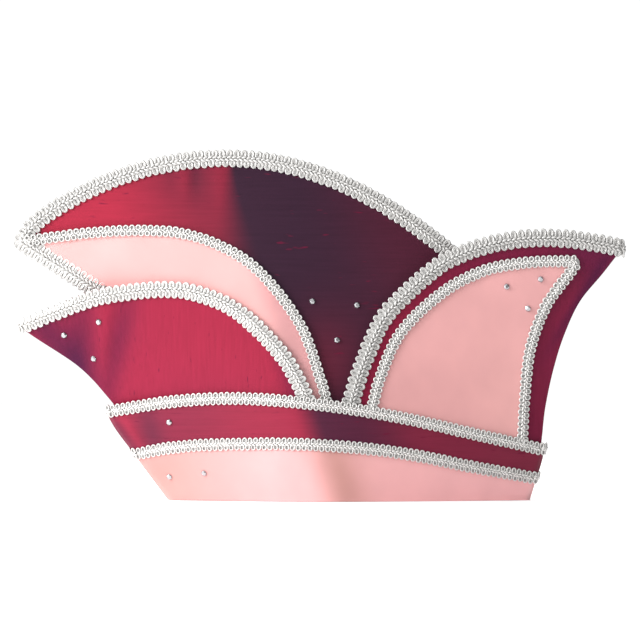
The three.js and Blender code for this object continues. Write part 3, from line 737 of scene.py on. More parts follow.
def declare_cloth(piece, node_name, grid):
    along, upward, area = cut_size(grid)
    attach(piece, "root")
    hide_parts(node_name)
    area = min(area, along * upward)
    print(f"{piece.name}: cut {along * 1000:.0f} by {upward * 1000:.0f} mm, {area * 1e4:.0f} cm2")


def panel_pair(name, node_name, grid, form, layer, material):
    x, z = grid
    # turned holds painted sheen and painted shade.
    turned = painted_sheen_and_shade_share(node_name.removesuffix("_panel"), x, z)
    for side, side_name in SIDE_NAMES.items():
        order = OUTWARD_ORDER[side]
        inner, outer = [lay(form, x, z, side, offset)[order] for offset in layer]
        points, faces, source = wall_arrays(outer, inner)
        piece = mesh_from(f"{name}_{side_name}", points, faces, material)
        add_painted_sheen_and_shade(piece, turned[order].reshape(-1)[source])
        declare_cloth(piece, f"{node_name}_{side_name}", (outer + inner) / 2)


square = np.stack(np.meshgrid([0, 5, 10], [0, 5, 10], [0], indexing="ij"), axis=-1)[:, :, 0]
print("a square of 10 mm measures", [round(float(v), 6) for v in cut_size(square)])

# %% [markdown]
# The crown is two panels, sewn together along the ridge and under the beak. Sections cross each panel
# from its foot, which is sewn in behind the band, up to the ridge, and the columns are spread between the
# sections. A flat plane that is pushed into shape would stretch its faces at the beak. These columns turn
# with the cloth and keep the faces even.

# %% Crown panels
CROWN_ROWS, FLARE_ROWS = 44, 6
EDGE_SUPPORT = 0.15
PANEL_LAYER = (PANEL_INNER, PANEL_OUTER)
CrownRow = namedtuple("CrownRow", "ridge_x foot_x columns")
CROWN_SECTIONS = [
    CrownRow(-227, -226.5, 8),
    CrownRow(-220, -218, 10),
    CrownRow(-196, -196, 12),
    CrownRow(-172, BEAK_ROOT[0], 8),
    CrownRow(-155, (BEAK_ROOT[0] + BEAK_FOOT[0]) / 2, 8),
    CrownRow(-140, BEAK_FOOT[0], 22),
    CrownRow(-90, -40, 30),
    CrownRow(-40, 20, 34),
    CrownRow(60, 96, 22),
    CrownRow(FAN_SHOULDER[0], FAN_FOOT[0], 0),
]


def eased_ends(count):
    support = EDGE_SUPPORT / count
    return np.concatenate([[0, support], np.linspace(0, 1, count + 1)[1:-1], [1 - support, 1]])


def crown_foot(x):
    under_beak = lerp(BEAK_TIP[1], BEAK_ROOT[1], (x - BEAK_TIP[0]) / (BEAK_ROOT[0] - BEAK_TIP[0]))
    front = lerp(BEAK_ROOT[1], BEAK_FOOT[1], (x - BEAK_ROOT[0]) / (BEAK_FOOT[0] - BEAK_ROOT[0]))
    return np.where(x < BEAK_ROOT[0], under_beak, np.where(x < BEAK_FOOT[0], front, band_foot(x)))


def crown_columns(end):
    parts = []
    for here, after in zip(CROWN_SECTIONS[:-1], CROWN_SECTIONS[1:]):
        parts.append(lerp(getattr(here, end), getattr(after, end), np.arange(here.columns) / here.columns))
    return np.append(np.concatenate(parts), getattr(CROWN_SECTIONS[-1], end))[:, None]


def crown_grid():
    top_x, low_x = crown_columns("ridge_x"), crown_columns("foot_x")
    top_z, low_z = ridge_z(top_x), crown_foot(low_x)
    flare = np.minimum(BAND_TUCK / (top_z - low_z), FLARE_ROWS / CROWN_ROWS)
    rising = flare * np.linspace(0, 1, FLARE_ROWS, endpoint=False)
    share = np.concatenate([rising, lerp(flare, 1, eased_ends(CROWN_ROWS - FLARE_ROWS))], axis=1)
    return lerp(low_x, top_x, share), lerp(low_z, top_z, share)


panel_pair(
    "crown_silk", "crown_panel", crown_grid(), crown_width, PANEL_LAYER,
    CROWN_SILK,
)

# %% [markdown]
# A pink stripe is sewn on the crown, above the beak flap. It is a thin applique, so its grid is laid on
# the crown's half-width, one layer out. Cutting the colour into the crown's material would be simpler,
# but the real stripe is a piece of its own with an edge. A spline through a short table gives its two
# curved borders.

# %% Pink stripe on the crown
STRIPE_COLUMNS, STRIPE_ROWS = 150, 14
APPLIQUE_THICKNESS = 1.0
ON_PANEL = PANEL_OUTER + LAYER_GAP
APPLIQUE_LAYER = (ON_PANEL, ON_PANEL + APPLIQUE_THICKNESS)
StripeRow = namedtuple("StripeRow", "x z foot_x foot_z")
STRIPE_SECTIONS = [
    StripeRow(-206, 196, -206, 190.3),
    StripeRow(-179, 199.5, -184, 175),
    StripeRow(-157, 201.3, -167, 162.8),
    StripeRow(-134, 202, -150, 158),
    StripeRow(-104, 200, -119, 147),
    StripeRow(-74, 190.5, -89, 142),
    StripeRow(-44, 170.5, -60, 143),
    StripeRow(-14, 131.5, -32, 121.5),
    StripeRow(1, 91, -11, 90),
    StripeRow(5.5, 75, -5, 76),
]


def spline(rows, columns=(0, 1), count=400):
    table = np.array(rows, float)[:, list(columns)]
    padded = np.concatenate([table[:1], table, table[-1:]])
    at = np.linspace(0, len(table) - 1, count + 1)
    i = np.minimum(at.astype(int), len(table) - 2)
    t = (at - i)[:, None]
    before, start, end, beyond = padded[i], padded[i + 1], padded[i + 2], padded[i + 3]
    leave, arrive = (end - before) / 2, (beyond - start) / 2
    cubic = 2 * start - 2 * end + leave + arrive
    square_term = 3 * end - 3 * start - 2 * leave - arrive
    return ((cubic * t + square_term) * t + leave) * t + start


def read_points(points, known, wanted):
    return np.stack([np.interp(wanted, known, points[:, k]) for k in range(points.shape[1])], axis=-1)


def at_share(points, share):
    return read_points(points, np.arange(len(points)), np.asarray(share) * (len(points) - 1))


def stripe_grid():
    share = eased_ends(STRIPE_COLUMNS)
    edge = at_share(spline(STRIPE_SECTIONS, (0, 1)), share)[:, None]
    foot = at_share(spline(STRIPE_SECTIONS, (2, 3)), share)[:, None]
    points = lerp(foot, edge, eased_ends(STRIPE_ROWS)[None, :, None])
    return points[..., 0], points[..., 1]


panel_pair(
    "crown_stripe_satin", "crown_stripe", stripe_grid(), crown_width, APPLIQUE_LAYER,
    SATIN,
)

# %% [markdown]
# Two flaps are turned up round the crown: a low one at the beak end and a tall fan at the other. They
# stand on the band seam and flare outwards to their tips. Their columns keep an even share of the way
# from the end seam to the crease, so the rows run with the cloth. A straight grid cut off by a Boolean
# would leave slivers along the curved edge.

# %% Beak flap and fan flap
BEAK_FLAP_GRID, FAN_FLAP_GRID = (110, 44), (100, 54)
FLAPS_MEET_AT, BAND_OVERLAP = 8, 1
EDGE_UNDER_BRAID = -1.2
END_SIGNS = {"beak": -1, "fan": 1}
FLAP_REACH = {"beak": -223.5, "fan": 226.5}
SETTLE_STEPS, HALVING_STEPS = 30, 40
Place = namedtuple("Place", "x z")
BEAK_FLAP_EDGE = [
    Place(-224, 131),
    Place(-194, 143),
    Place(-164, 153),
    Place(-119, 158.5),
    Place(-89, 155),
    Place(-59, 141),
    Place(-29, 112),
    Place(-14, 88),
    Place(-8, 75),
]
FAN_FLAP_EDGE = [
    Place(24, 75),
    Place(31, 98),
    Place(46, 133),
    Place(61, 151),
    Place(91, 177),
    Place(121, 190),
    Place(151, 196),
    Place(181, 196.5),
    Place(211, 192.5),
    Place(227, 189),
]


def flap_end(end, z):
    seam = hull_end(end, z)
    return np.maximum(seam, FLAP_REACH[end]) if end == "beak" else np.minimum(seam, FLAP_REACH[end])


def settle(rule, start):
    z = start
    for _ in range(SETTLE_STEPS):
        z = rule(z)
    return z


def crossing(value, low, high):
    for _ in range(HALVING_STEPS):
        middle = (low + high) / 2
        below = value(middle) < 0
        low, high = np.where(below, middle, low), np.where(below, high, middle)
    return low


def flap_grid(edge, end, size):
    columns, rows = size

    def along(share, z):
        return lerp(flap_end(end, z), crease_x(z), share)

    def edge_top(x):
        return np.maximum(read_table(edge, 1, x) + EDGE_UNDER_BRAID, upper_line(x) - BAND_OVERLAP)

    meet_x = np.array(FLAPS_MEET_AT + END_SIGNS[end] * SEAM_GAP / 2)
    meet_z = upper_line(meet_x) - BAND_TUCK / 2
    meet_share = (meet_x - flap_end(end, meet_z)) / (crease_x(meet_z) - flap_end(end, meet_z))
    share = eased_ends(columns) * meet_share
    foot = settle(lambda z: band_foot(along(share, z)), 0 * share)
    top = crossing(lambda z: z - edge_top(along(share, z)), foot, RIDGE_HEIGHT + 0 * share)
    z = lerp(foot[:, None], top[:, None], eased_ends(rows)[None])
    x = along(share[:, None], z)
    return (x, z) if end == "beak" else (x[::-1], z[::-1])


for end, edge, size in (("beak", BEAK_FLAP_EDGE, BEAK_FLAP_GRID), ("fan", FAN_FLAP_EDGE, FAN_FLAP_GRID)):
    panel_pair(
        f"{end}_flap_silk", f"{end}_flap", flap_grid(edge, end, size), hull_width, PANEL_LAYER,
        FLAP_SILK,
    )

# %% [markdown]
# The fan flap carries a pink inlay with a curved top, a bent end and a straight foot on the band. It is
# an applique like the stripe. Its grid is first spread between the foot and the top, and is then bent
# more and more towards its end border. A grid that is filled from four curves could do the same, but this
# needs two.

# %% Pink inlay on the fan flap
INLAY_COLUMNS, INLAY_ROWS = 80, 60
INLAY_FIRST_HEAD = 0.03
INLAY_TOP = [
    Place(41, 75),
    Place(46, 93),
    Place(61, 125.5),
    Place(91, 154.5),
    Place(121, 171),
    Place(151, 177.5),
    Place(181, 179),
    Place(192, 177),
]
INLAY_END = [
    Place(192, 177),
    Place(178, 157.5),
    Place(168.5, 142.5),
    Place(158, 112.5),
    Place(154, 75),
    Place(152.5, 46),
]


def path_length(points):
    return np.concatenate([[0], np.cumsum(np.linalg.norm(np.diff(points, axis=0), axis=1))])


def at_length(points, share):
    length = path_length(points)
    return read_points(points, length, np.asarray(share) * length[-1])


def inlay_grid():
    share, rise = eased_ends(INLAY_COLUMNS), eased_ends(INLAY_ROWS)
    foot_x = lerp(INLAY_TOP[0].x, INLAY_END[-1].x, share)
    foot = np.stack([foot_x, upper_line(foot_x) + BAND_OVERLAP + LAYER_GAP], axis=-1)
    head = at_length(spline(INLAY_TOP), lerp(INLAY_FIRST_HEAD, 1, share))
    points = lerp(foot[:, None], head[:, None], rise[None, :, None])
    straight = points[-1]
    bent = at_share(spline(INLAY_END[::-1]), rise)
    bent[:, 1] = np.maximum(bent[:, 1], straight[0, 1])
    points = points + (share * share)[:, None, None] * (bent - straight)[None]
    return points[..., 0], points[..., 1]


panel_pair(
    "fan_inlay_satin", "fan_inlay", inlay_grid(), hull_width, APPLIQUE_LAYER,
    SATIN,
)

# %% [markdown]
# Each band is one closed ring, folded at the two end seams: satin at the rim and silk above it. At the
# beak end the bands reach a little past the flap's seam, on a line of their own. The rings follow the
# lines of the braids that cover their upper edges, and the lower ring's flat edge is the rim that the cap
# stands on. A curve with a flat bevel would also give a ring, but not one whose height changes along the
# way.

# %% Upper and lower band
BAND_FLANK_COLUMNS, BAND_ROWS = 84, 16
CLOSER_AT_CREASE = 0.5
BAND_THICKNESS = 1.9
BAND_LAYER = (ON_PANEL, ON_PANEL + BAND_THICKNESS)


def ring_half(end, low, high, rows):
    even = np.linspace(0, 1, BAND_FLANK_COLUMNS + 1)
    share = lerp(even, np.sin(even * math.pi / 2), CLOSER_AT_CREASE)[:, None]
    rise = np.asarray(rows)[None]

    def along(z):
        return lerp(band_end(end, z), crease_x(z), share)

    z = settle(lambda height: lerp(low(along(height)), high(along(height)), rise), 0 * share * rise)
    return along(z), z


def ring_grid(low, high, rows):
    beak, fan = ring_half("beak", low, high, rows), ring_half("fan", low, high, rows)
    return [np.concatenate([near, far[:-1][::-1]]) for near, far in zip(beak, fan)]


def ring_surface(x, z, offset):
    def fold(column, sign):
        return np.stack([x[column] + sign * offset, 0 * x[column], z[column]], axis=-1)[None]

    near = lay(band_width, x, z, LEFT, offset)
    far = lay(band_width, x, z, RIGHT, offset)[::-1]
    return np.concatenate([near, fold(-1, 1), far, fold(0, -1)])


def band(name, node_name, low, high, material):
    x, z = ring_grid(low, high, eased_ends(BAND_ROWS))
    inner, outer = [ring_surface(x, z, offset) for offset in BAND_LAYER]
    points, faces, source = wall_arrays(outer, inner, loop=True)
    points[:, 2] = np.maximum(points[:, 2], 0)
    piece = mesh_from(name, points, faces, material)
    # The band's turned attribute holds painted sheen and painted shade.
    share = painted_sheen_and_shade_share(node_name, x, z)
    around = np.concatenate([share, share[-1:], share[::-1], share[:1]])
    add_painted_sheen_and_shade(piece, around.reshape(-1)[source])
    declare_cloth(piece, node_name, (outer + inner) / 2)


band(
    "lower_band_satin", "lower_band", lambda x: 0 * x, lambda x: lower_line(x) - SEAM_GAP / 2,
    BAND_SATIN,
)
band(
    "upper_band_silk", "upper_band", lambda x: lower_line(x) + SEAM_GAP / 2,
    lambda x: upper_line(x) + BAND_OVERLAP, BAND_SILK,
)

# %% [markdown]
# Gimp braid is a flat trimming: two rows of cord loops lie side by side, half a step apart, and a plait
# of slanting stitches holds them together along the middle. In the wide braids each loop is a double turn
# of cord, so it has two rings, one inside the other. In the narrow braids it has one. Hundreds of loops
# follow each edge. An Array modifier along a curve could repeat them, but it can't turn each one with the
# cloth, so Geometry Nodes make them. First come the shapes of one loop and one stitch.

# %% One loop and one stitch
RING_STEPS, CORD_SIDES = 12, 5
INNER_STEPS, INNER_SIDES = 10, 4
LOOP_TAPER, INNER_SHRINK, INNER_CORD = 0.22, 0.50, 0.30
GRAIN_SEGMENTS, GRAIN_RINGS = 6, 4


def math_node(tree, operation, *values):
    return node(tree, "ShaderNodeMath", dict(enumerate(values)), operation=operation).outputs[0]


def ring_shape(tree, half_width, half_length, cord, steps, sides):
    circle = node(tree, "GeometryNodeCurvePrimitiveCircle", {"Resolution": steps, "Radius": 1.0})
    place = node(tree, "GeometryNodeInputPosition").outputs[0]
    x, y, _ = node(tree, "ShaderNodeSeparateXYZ", {0: place}).outputs
    taper = math_node(tree, "MULTIPLY_ADD", y, LOOP_TAPER, 1.0)
    wide = math_node(tree, "MULTIPLY", math_node(tree, "MULTIPLY", x, taper), half_width)
    oval = node(tree, "ShaderNodeCombineXYZ", {0: wide, 1: math_node(tree, "MULTIPLY", y, half_length)})
    moved = {"Geometry": circle.outputs[0], "Position": oval.outputs[0]}
    bent = node(tree, "GeometryNodeSetPosition", moved)
    section = node(tree, "GeometryNodeCurvePrimitiveCircle", {"Resolution": sides, "Radius": cord})
    inputs = {"Curve": bent.outputs[0], "Profile Curve": section.outputs[0]}
    return node(tree, "GeometryNodeCurveToMesh", inputs).outputs[0]


def loop_shape(tree, sizes, double):
    cord = sizes["Cord Radius"]
    half_width = math_node(tree, "SUBTRACT", math_node(tree, "MULTIPLY", sizes["Loop Width"], 0.5), cord)
    half_length = math_node(tree, "SUBTRACT", math_node(tree, "MULTIPLY", sizes["Loop Length"], 0.5), cord)
    step = math_node(tree, "MULTIPLY", half_width, INNER_SHRINK)
    inner_width = math_node(tree, "SUBTRACT", half_width, step)
    inner_length = math_node(tree, "SUBTRACT", half_length, step)
    inner_cord = math_node(tree, "MULTIPLY", half_width, INNER_CORD)
    outer = ring_shape(tree, half_width, half_length, cord, RING_STEPS, CORD_SIDES)
    inner = ring_shape(tree, inner_width, inner_length, inner_cord, INNER_STEPS, INNER_SIDES)
    both = node(tree, "GeometryNodeJoinGeometry", {0: outer})
    tree.links.new(inner, both.inputs[0])
    inputs = {"Switch": double, "False": outer, "True": both.outputs[0]}
    return node(tree, "GeometryNodeSwitch", inputs, input_type="GEOMETRY").outputs[0]


def stitch_shape(tree, sizes):
    steps = {"Segments": GRAIN_SEGMENTS, "Rings": GRAIN_RINGS, "Radius": 1.0}
    ball = node(tree, "GeometryNodeMeshUVSphere", steps).outputs[0]
    half = math_node(tree, "MULTIPLY", sizes["Stitch Length"], 0.5)
    radius = sizes["Stitch Radius"]
    size = node(tree, "ShaderNodeCombineXYZ", {0: radius, 1: half, 2: radius}).outputs[0]
    return node(tree, "GeometryNodeTransform", {"Geometry": ball, "Scale": size}).outputs[0]


print("faces of a loop:", RING_STEPS * CORD_SIDES, "and", INNER_STEPS * INNER_SIDES, "for a second ring")

# %% [markdown]
# The tree gets a mesh with the woven ground and loose points. Each point says whether a loop or a stitch
# lies there, which way it points and which way is out, and the tree puts one shape on each. Real cord
# never lies twice alike, so every shape is turned and sized a little by chance, with a fixed seed. Each
# part ends as realized, plain mesh with its own material.

# %% Geometry Nodes tree for the braid
LOOP, STITCH = 1.0, 2.0
LEAST_SIZE, MOST_SIZE = 0.94, 1.05
BRAID_SIZES = ("Loop Length", "Loop Width", "Cord Radius", "Stitch Length", "Stitch Radius", "Jitter")
BRAID_INPUTS = {
    "Stations": "Geometry",
    **{name: "Float" for name in BRAID_SIZES},
    "Seed": "Int",
    "Double Loops": "Bool",
    "Cord Material": "Material",
    "Plait Material": "Material",
    "Ground Material": "Material",
}


def named_attribute(tree, name, kind):
    return node(tree, "GeometryNodeInputNamedAttribute", {"Name": name}, data_type=kind).outputs[0]


def facing(tree, jitter, seed):
    align = "FunctionNodeAlignRotationToVector"
    out = {"Vector": named_attribute(tree, "outward", "FLOAT_VECTOR")}
    upright = node(tree, align, out, axis="Z").outputs[0]
    across = {"Rotation": upright, "Vector": named_attribute(tree, "across", "FLOAT_VECTOR")}
    turned = node(tree, align, across, axis="Y", pivot_axis="Z").outputs[0]
    shake = {0: math_node(tree, "MULTIPLY", jitter, -1.0), 1: jitter, "Seed": seed}
    angles = node(tree, "FunctionNodeRandomValue", shake, data_type="FLOAT_VECTOR").outputs[0]
    loose = node(tree, "FunctionNodeEulerToRotation", {0: angles}).outputs[0]
    inputs = {"Rotation": turned, "Rotate By": loose}
    return node(tree, "FunctionNodeRotateRotation", inputs, rotation_space="LOCAL").outputs[0]


def braid_tree():
    tree = bpy.data.node_groups.new("gimp_braid", "GeometryNodeTree")
    for name, kind in BRAID_INPUTS.items():
        tree.interface.new_socket(name, in_out="INPUT", socket_type="NodeSocket" + kind)
    tree.interface.new_socket("Braid", in_out="OUTPUT", socket_type="NodeSocketGeometry")
    given = node(tree, "NodeGroupInput").outputs
    sizes = {name: given[name] for name in BRAID_SIZES}
    role = named_attribute(tree, "role", "FLOAT")
    chosen = {"Geometry": given["Stations"], "Selection": math_node(tree, "GREATER_THAN", role, LOOP / 2)}
    stations, ground = node(tree, "GeometryNodeSeparateGeometry", chosen).outputs
    points = node(tree, "GeometryNodeMeshToPoints", {"Mesh": stations}).outputs[0]
    chance = {2: LEAST_SIZE, 3: MOST_SIZE, "Seed": given["Seed"]}
    size = node(tree, "FunctionNodeRandomValue", chance, data_type="FLOAT").outputs[1]
    longer = math_node(tree, "MULTIPLY", size, named_attribute(tree, "stretch", "FLOAT"))
    placing = {
        "Points": points,
        "Rotation": facing(tree, sizes["Jitter"], given["Seed"]),
        "Scale": node(tree, "ShaderNodeCombineXYZ", {0: size, 1: longer, 2: size}).outputs[0],
    }
    parts = [(ground, "Ground Material")]
    loop, stitch = loop_shape(tree, sizes, given["Double Loops"]), stitch_shape(tree, sizes)
    for test, shape, material in (("LESS_THAN", loop, "Cord"), ("GREATER_THAN", stitch, "Plait")):
        here = {"Selection": math_node(tree, test, role, (LOOP + STITCH) / 2), "Instance": shape}
        placed = node(tree, "GeometryNodeInstanceOnPoints", {**placing, **here})
        whole = node(tree, "GeometryNodeRealizeInstances", {"Geometry": placed.outputs[0]})
        parts.append((whole.outputs[0], material + " Material"))
    joined = node(tree, "GeometryNodeJoinGeometry")
    for part, material in parts:
        rounded = node(tree, "GeometryNodeSetShadeSmooth", {"Geometry": part, "Shade Smooth": True})
        inputs = {"Geometry": rounded.outputs[0], "Material": given[material]}
        tree.links.new(node(tree, "GeometryNodeSetMaterial", inputs).outputs[0], joined.inputs[0])
    node(tree, "NodeGroupOutput", {"Braid": joined.outputs[0]})
    return tree


BRAID_TREE = braid_tree()
print("braid tree:", len(BRAID_TREE.nodes), "nodes")

# %% [markdown]
# Wide braid covers the ridge, the beak and the edges of the flaps. Narrow braid lies on the bands, the
# stripe and the inlay. Their widths and the step from loop to loop are read from the picture, and the
# loop, cord and stitch are shares of these, so one set of rules serves all. Each braid is sewn down, so
# it sinks a part of the usual gap towards the layer below it. The stripe's braid lies one braid higher
# than the rest on the crown, because it crosses the beak's braid.

# %% Kinds of braid and their seats
Braid = namedtuple("Braid", "width pitch upper lower double silver")
RIDGE = Braid(14.4, 5.4, 0.50, 0.50, True, "ridge")
BEAK = Braid(15.5, 5.4, 0.50, 0.50, True, "broad")
BEAK_FLAP = Braid(13.6, 5.2, 0.50, 0.50, True, "broad")
FAN_FLAP = Braid(14.6, 5.55, 0.55, 0.45, True, "fan")
STRIPE = Braid(9.0, 4.7, 0.50, 0.50, False, "fine")
INLAY = Braid(9.5, 4.5, 0.50, 0.50, False, "fine")
BAND = Braid(10.0, 4.4, 0.50, 0.50, False, "fine")
TUCK = 0.05
HALF_LOOP = 0.5 + TUCK
LOOP_WIDTH, CORD_SHARE, CORD_REST = 0.95, 0.135, 0.75
STITCH_LENGTH, STITCH_RADIUS, STITCH_ASIDE = 0.36, 0.068, 0.08
STITCH_SLANT = math.radians(22)
STITCHES_PER_LOOP = 1.5
UPPER_SHIFT, LOWER_SHIFT = 0.25, 0.75
LOOP_JITTER = 0.07
GROUND_REACH, GROUND_THICKNESS = 0.68, 0.45
BRAID_THICKNESS, BRAID_SINK = 1.4, 0.35
EDGE_SEAT = ON_PANEL - BRAID_SINK
STRIPE_SEAT = ON_PANEL + LAYER_GAP + BRAID_THICKNESS - BRAID_SINK
INLAY_SEAT = APPLIQUE_LAYER[1] + LAYER_GAP - BRAID_SINK
BAND_SEAT = BAND_LAYER[1] + LAYER_GAP - BRAID_SINK


def loop_seat(braid, seat):
    return seat + GROUND_THICKNESS + CORD_REST * CORD_SHARE * braid.pitch


print("cord of the ridge braid:", round(2 * CORD_SHARE * RIDGE.pitch, 2), "mm thick")

# %% [markdown]
# A braid follows a line on the cloth. At each step the cloth gives three directions: along the line,
# across it and straight out. They could be read from the faces of the mesh, but places close to the spot
# on every side, laid on the same half-width, give them without any search.

# %% The way along, across and out
PROBE = 0.2


def sideways(ahead):
    return np.stack([-ahead[:, 1], ahead[:, 0]], axis=-1)


def walk(line, form, side, offset, pitch, shift):
    length = path_length(lay(form, line[:, 0], line[:, 1], side, offset))
    count = max(int(round(length[-1] / pitch)), 1)
    target = (np.arange(count) + shift) / count * length[-1]
    return read_points(line, length, target), unit(read_points(np.gradient(line, axis=0), length, target))


def frame_at(form, side, offset, spot, ahead, aside):
    def on_cloth(points):
        return lay(form, points[:, 0], points[:, 1], side, offset)

    along = unit(on_cloth(spot + PROBE * ahead) - on_cloth(spot - PROBE * ahead))
    across = unit(on_cloth(spot + PROBE * aside) - on_cloth(spot - PROBE * aside))
    outward = unit(np.cross(along, across))
    outward = outward * np.where(outward[:, 1:2] * side < 0, -1, 1)
    across = unit(across - along * np.sum(along * across, axis=1, keepdims=True))
    return on_cloth(spot), along, across, outward


def rolled(across, outward, degrees):
    angle = np.radians(degrees)[:, None]
    pointing = across * np.cos(angle) - outward * np.sin(angle)
    return pointing, outward * np.cos(angle) + across * np.sin(angle)


trial_line = np.array([[-50.0, 60.0], [50.0, 60.0]])
print("steps on 100 mm of the band:", len(walk(trial_line, band_width, LEFT, BAND_SEAT, BAND.pitch, 0)[0]))

# %% [markdown]
# The two rows of loops start from the middle of the braid and point to either side, half a step apart. On
# a free edge the outer row rolls back over the edge, as the real braid does. The stitches of the plait
# lie higher, in two rows that slant apart like the bones of a herring. Points on a curve would know only
# the way along it, so each point here carries its own directions.

# %% Loops and stitches along a run
class Stations:
    """Loose points for one braid, each with the way across, the way out, its role and its stretch"""

    def __init__(self):
        self.place, self.across, self.outward, self.role, self.stretch = [], [], [], [], []

    def add(self, place, across, outward, role, stretch=1.0):
        self.place.append(np.reshape(place, (-1, 3)))
        self.across.append(np.reshape(across, (-1, 3)))
        self.outward.append(np.reshape(outward, (-1, 3)))
        self.role.append(np.full(len(self.place[-1]), role))
        self.stretch.append(np.full(len(self.place[-1]), stretch))


def flat_roll(x):
    return 0 * x


def everywhere(spot):
    return np.ones(len(spot), bool)


Course = namedtuple("Course", "line form seat roll keep", defaults=(flat_roll, everywhere))


def add_run(stations, braid, course, side):
    line, form = course.line, course.form
    top = loop_seat(braid, course.seat)
    rows = ((1, UPPER_SHIFT, braid.upper, course.roll), (-1, LOWER_SHIFT, braid.lower, flat_roll))
    for row, shift, reach, roll in rows:
        spot, ahead = walk(line, form, side, top, braid.pitch, shift)
        aside = row * sideways(ahead)
        start = spot - TUCK * braid.width * aside
        place, _, across, outward = frame_at(form, side, top, start, ahead, aside)
        pointing, out = rolled(across, outward, roll(spot[:, 0]))
        length = reach + TUCK
        centre = place + pointing * length * braid.width / 2
        kept = course.keep(spot)
        stations.add(centre[kept], pointing[kept], out[kept], LOOP, length / HALF_LOOP)
    high = top + CORD_SHARE * braid.pitch
    for row, shift, _, _ in rows:
        spot, ahead = walk(line, form, side, high, braid.pitch / STITCHES_PER_LOOP, shift)
        aside = row * sideways(ahead)
        spot = spot + STITCH_ASIDE * braid.width * aside
        place, along, across, outward = frame_at(form, side, high, spot, ahead, aside)
        slanted = along * math.cos(STITCH_SLANT) + across * math.sin(STITCH_SLANT)
        kept = course.keep(spot)
        stations.add(place[kept], slanted[kept], outward[kept], STITCH)


trial = Stations()
add_run(trial, BAND, Course(trial_line, band_width, BAND_SEAT), LEFT)
print("on 100 mm of the band:", [len(places) for places in trial.place], "loops and stitches in each row")

# %% [markdown]
# At the end seams the braid doesn't stop: it is folded round from the left side to the right. So the rows
# of loops and the plait go on round a half circle there, and on the bands it leans with the seam.
# Mirrored halves that simply meet would leave an open slit in the braid when the cap is seen from its
# end.

# %% Loops and stitches round a folded end
FoldedEnd = namedtuple("FoldedEnd", "spot ahead lean sign roll")
LEAST_END_STITCHES = 2


def round_end(end, radius, degrees):
    turn = np.radians(degrees)[:, None]
    side_up = np.array([-end.ahead[1], 0.0, end.ahead[0]])
    end_up = unit(np.array([end.lean, 0.0, 1.0]))
    upward = unit(lerp(side_up, end_up, np.cos(turn)))
    radial = np.concatenate([end.sign * np.cos(turn), np.sin(turn), 0 * turn], axis=1)
    place = np.array([end.spot[0], 0.0, end.spot[1]]) + radius * radial
    outward = unit(radial - upward * np.sum(radial * upward, axis=1, keepdims=True))
    return place, upward, outward


def add_wrap(stations, braid, end, seat):
    top = loop_seat(braid, seat)
    count = max(int(math.pi * top / braid.pitch), 1)
    upper_count, lower_count = (count, count + 1) if end.sign < 0 else (count + 1, count)
    rows = ((1, upper_count, braid.upper, end.roll), (-1, lower_count, braid.lower, 0.0))
    for row, loops, reach, roll in rows:
        degrees = (np.arange(loops) - (loops - 1) / 2) * 180 / (count + 0.5)
        place, upward, outward = round_end(end, top, degrees)
        start = place - row * TUCK * braid.width * upward
        pointing, out = rolled(row * upward, outward, roll + 0 * degrees)
        length = reach + TUCK
        stations.add(start + pointing * length * braid.width / 2, pointing, out, LOOP, length / HALF_LOOP)
    stitches = max(int(round(STITCHES_PER_LOOP * math.pi * top / braid.pitch)), LEAST_END_STITCHES)
    degrees = np.linspace(-90, 90, stitches + 2)[1:-1]
    place, upward, outward = round_end(end, top + CORD_SHARE * braid.pitch, degrees)
    along = np.cross(upward, outward)
    for row in (1, -1):
        slanted = along * math.cos(STITCH_SLANT) + row * upward * math.sin(STITCH_SLANT)
        stations.add(place + row * STITCH_ASIDE * braid.width * upward, slanted, outward, STITCH)


trial = Stations()
add_wrap(trial, BAND, FoldedEnd(np.array([160.0, 20.0]), np.array([1.0, 0.0]), 0.0, 1, 0.0), BAND_SEAT)
print("round a band's end:", [len(places) for places in trial.place], "loops and stitches in each row")

# %% [markdown]
# Under the loops lies a narrow woven ground, which keeps the cloth's colour from showing through. Silver
# paint on the cloth would do so from afar, but the braid stands off the cloth and rolls over its edges.
# So the ground is a thin wall of its own, three points wide, on the same line, with the same roll and the
# same folded ends as the loops.

# %% The woven ground under the loops
GROUND_STEP = 3
WRAP_DEGREES, WRAP_COLUMNS = 95, 13


def ground_wall(rows, out, side):
    order = OUTWARD_ORDER[side]
    outer = (rows + out * GROUND_THICKNESS / 2)[order]
    inner = (rows - out * GROUND_THICKNESS / 2)[order]
    return wall_arrays(outer, inner)[:2]


def ground_rows(braid, course, side):
    spot = course.line[::GROUND_STEP]
    spot = spot[course.keep(spot)]
    ahead = unit(np.gradient(spot, axis=0))
    aside = sideways(ahead)
    middle = course.seat + GROUND_THICKNESS / 2
    reach = GROUND_REACH * braid.width
    foot = spot - reach * braid.lower * aside
    low, _, _, low_out = frame_at(course.form, side, middle, foot, ahead, aside)
    spine, _, across, spine_out = frame_at(course.form, side, middle, spot, ahead, aside)
    pointing, high_out = rolled(across, spine_out, course.roll(spot[:, 0]))
    high = spine + reach * braid.upper * pointing
    return np.stack([low, spine, high], axis=1), np.stack([low_out, spine_out, high_out], axis=1)


def wrap_ground(braid, end, seat):
    degrees = -end.sign * np.linspace(WRAP_DEGREES, -WRAP_DEGREES, WRAP_COLUMNS)
    place, upward, outward = round_end(end, seat + GROUND_THICKNESS / 2, degrees)
    pointing, high_out = rolled(upward, outward, end.roll + 0 * degrees)
    reach = GROUND_REACH * braid.width
    low, high = place - reach * braid.lower * upward, place + reach * braid.upper * pointing
    out = np.stack([outward, outward, high_out], axis=1)
    return ground_wall(np.stack([low, place, high], axis=1), out, LEFT)


print("ground of the band braid:", round(GROUND_REACH * BAND.width, 1), "mm wide")

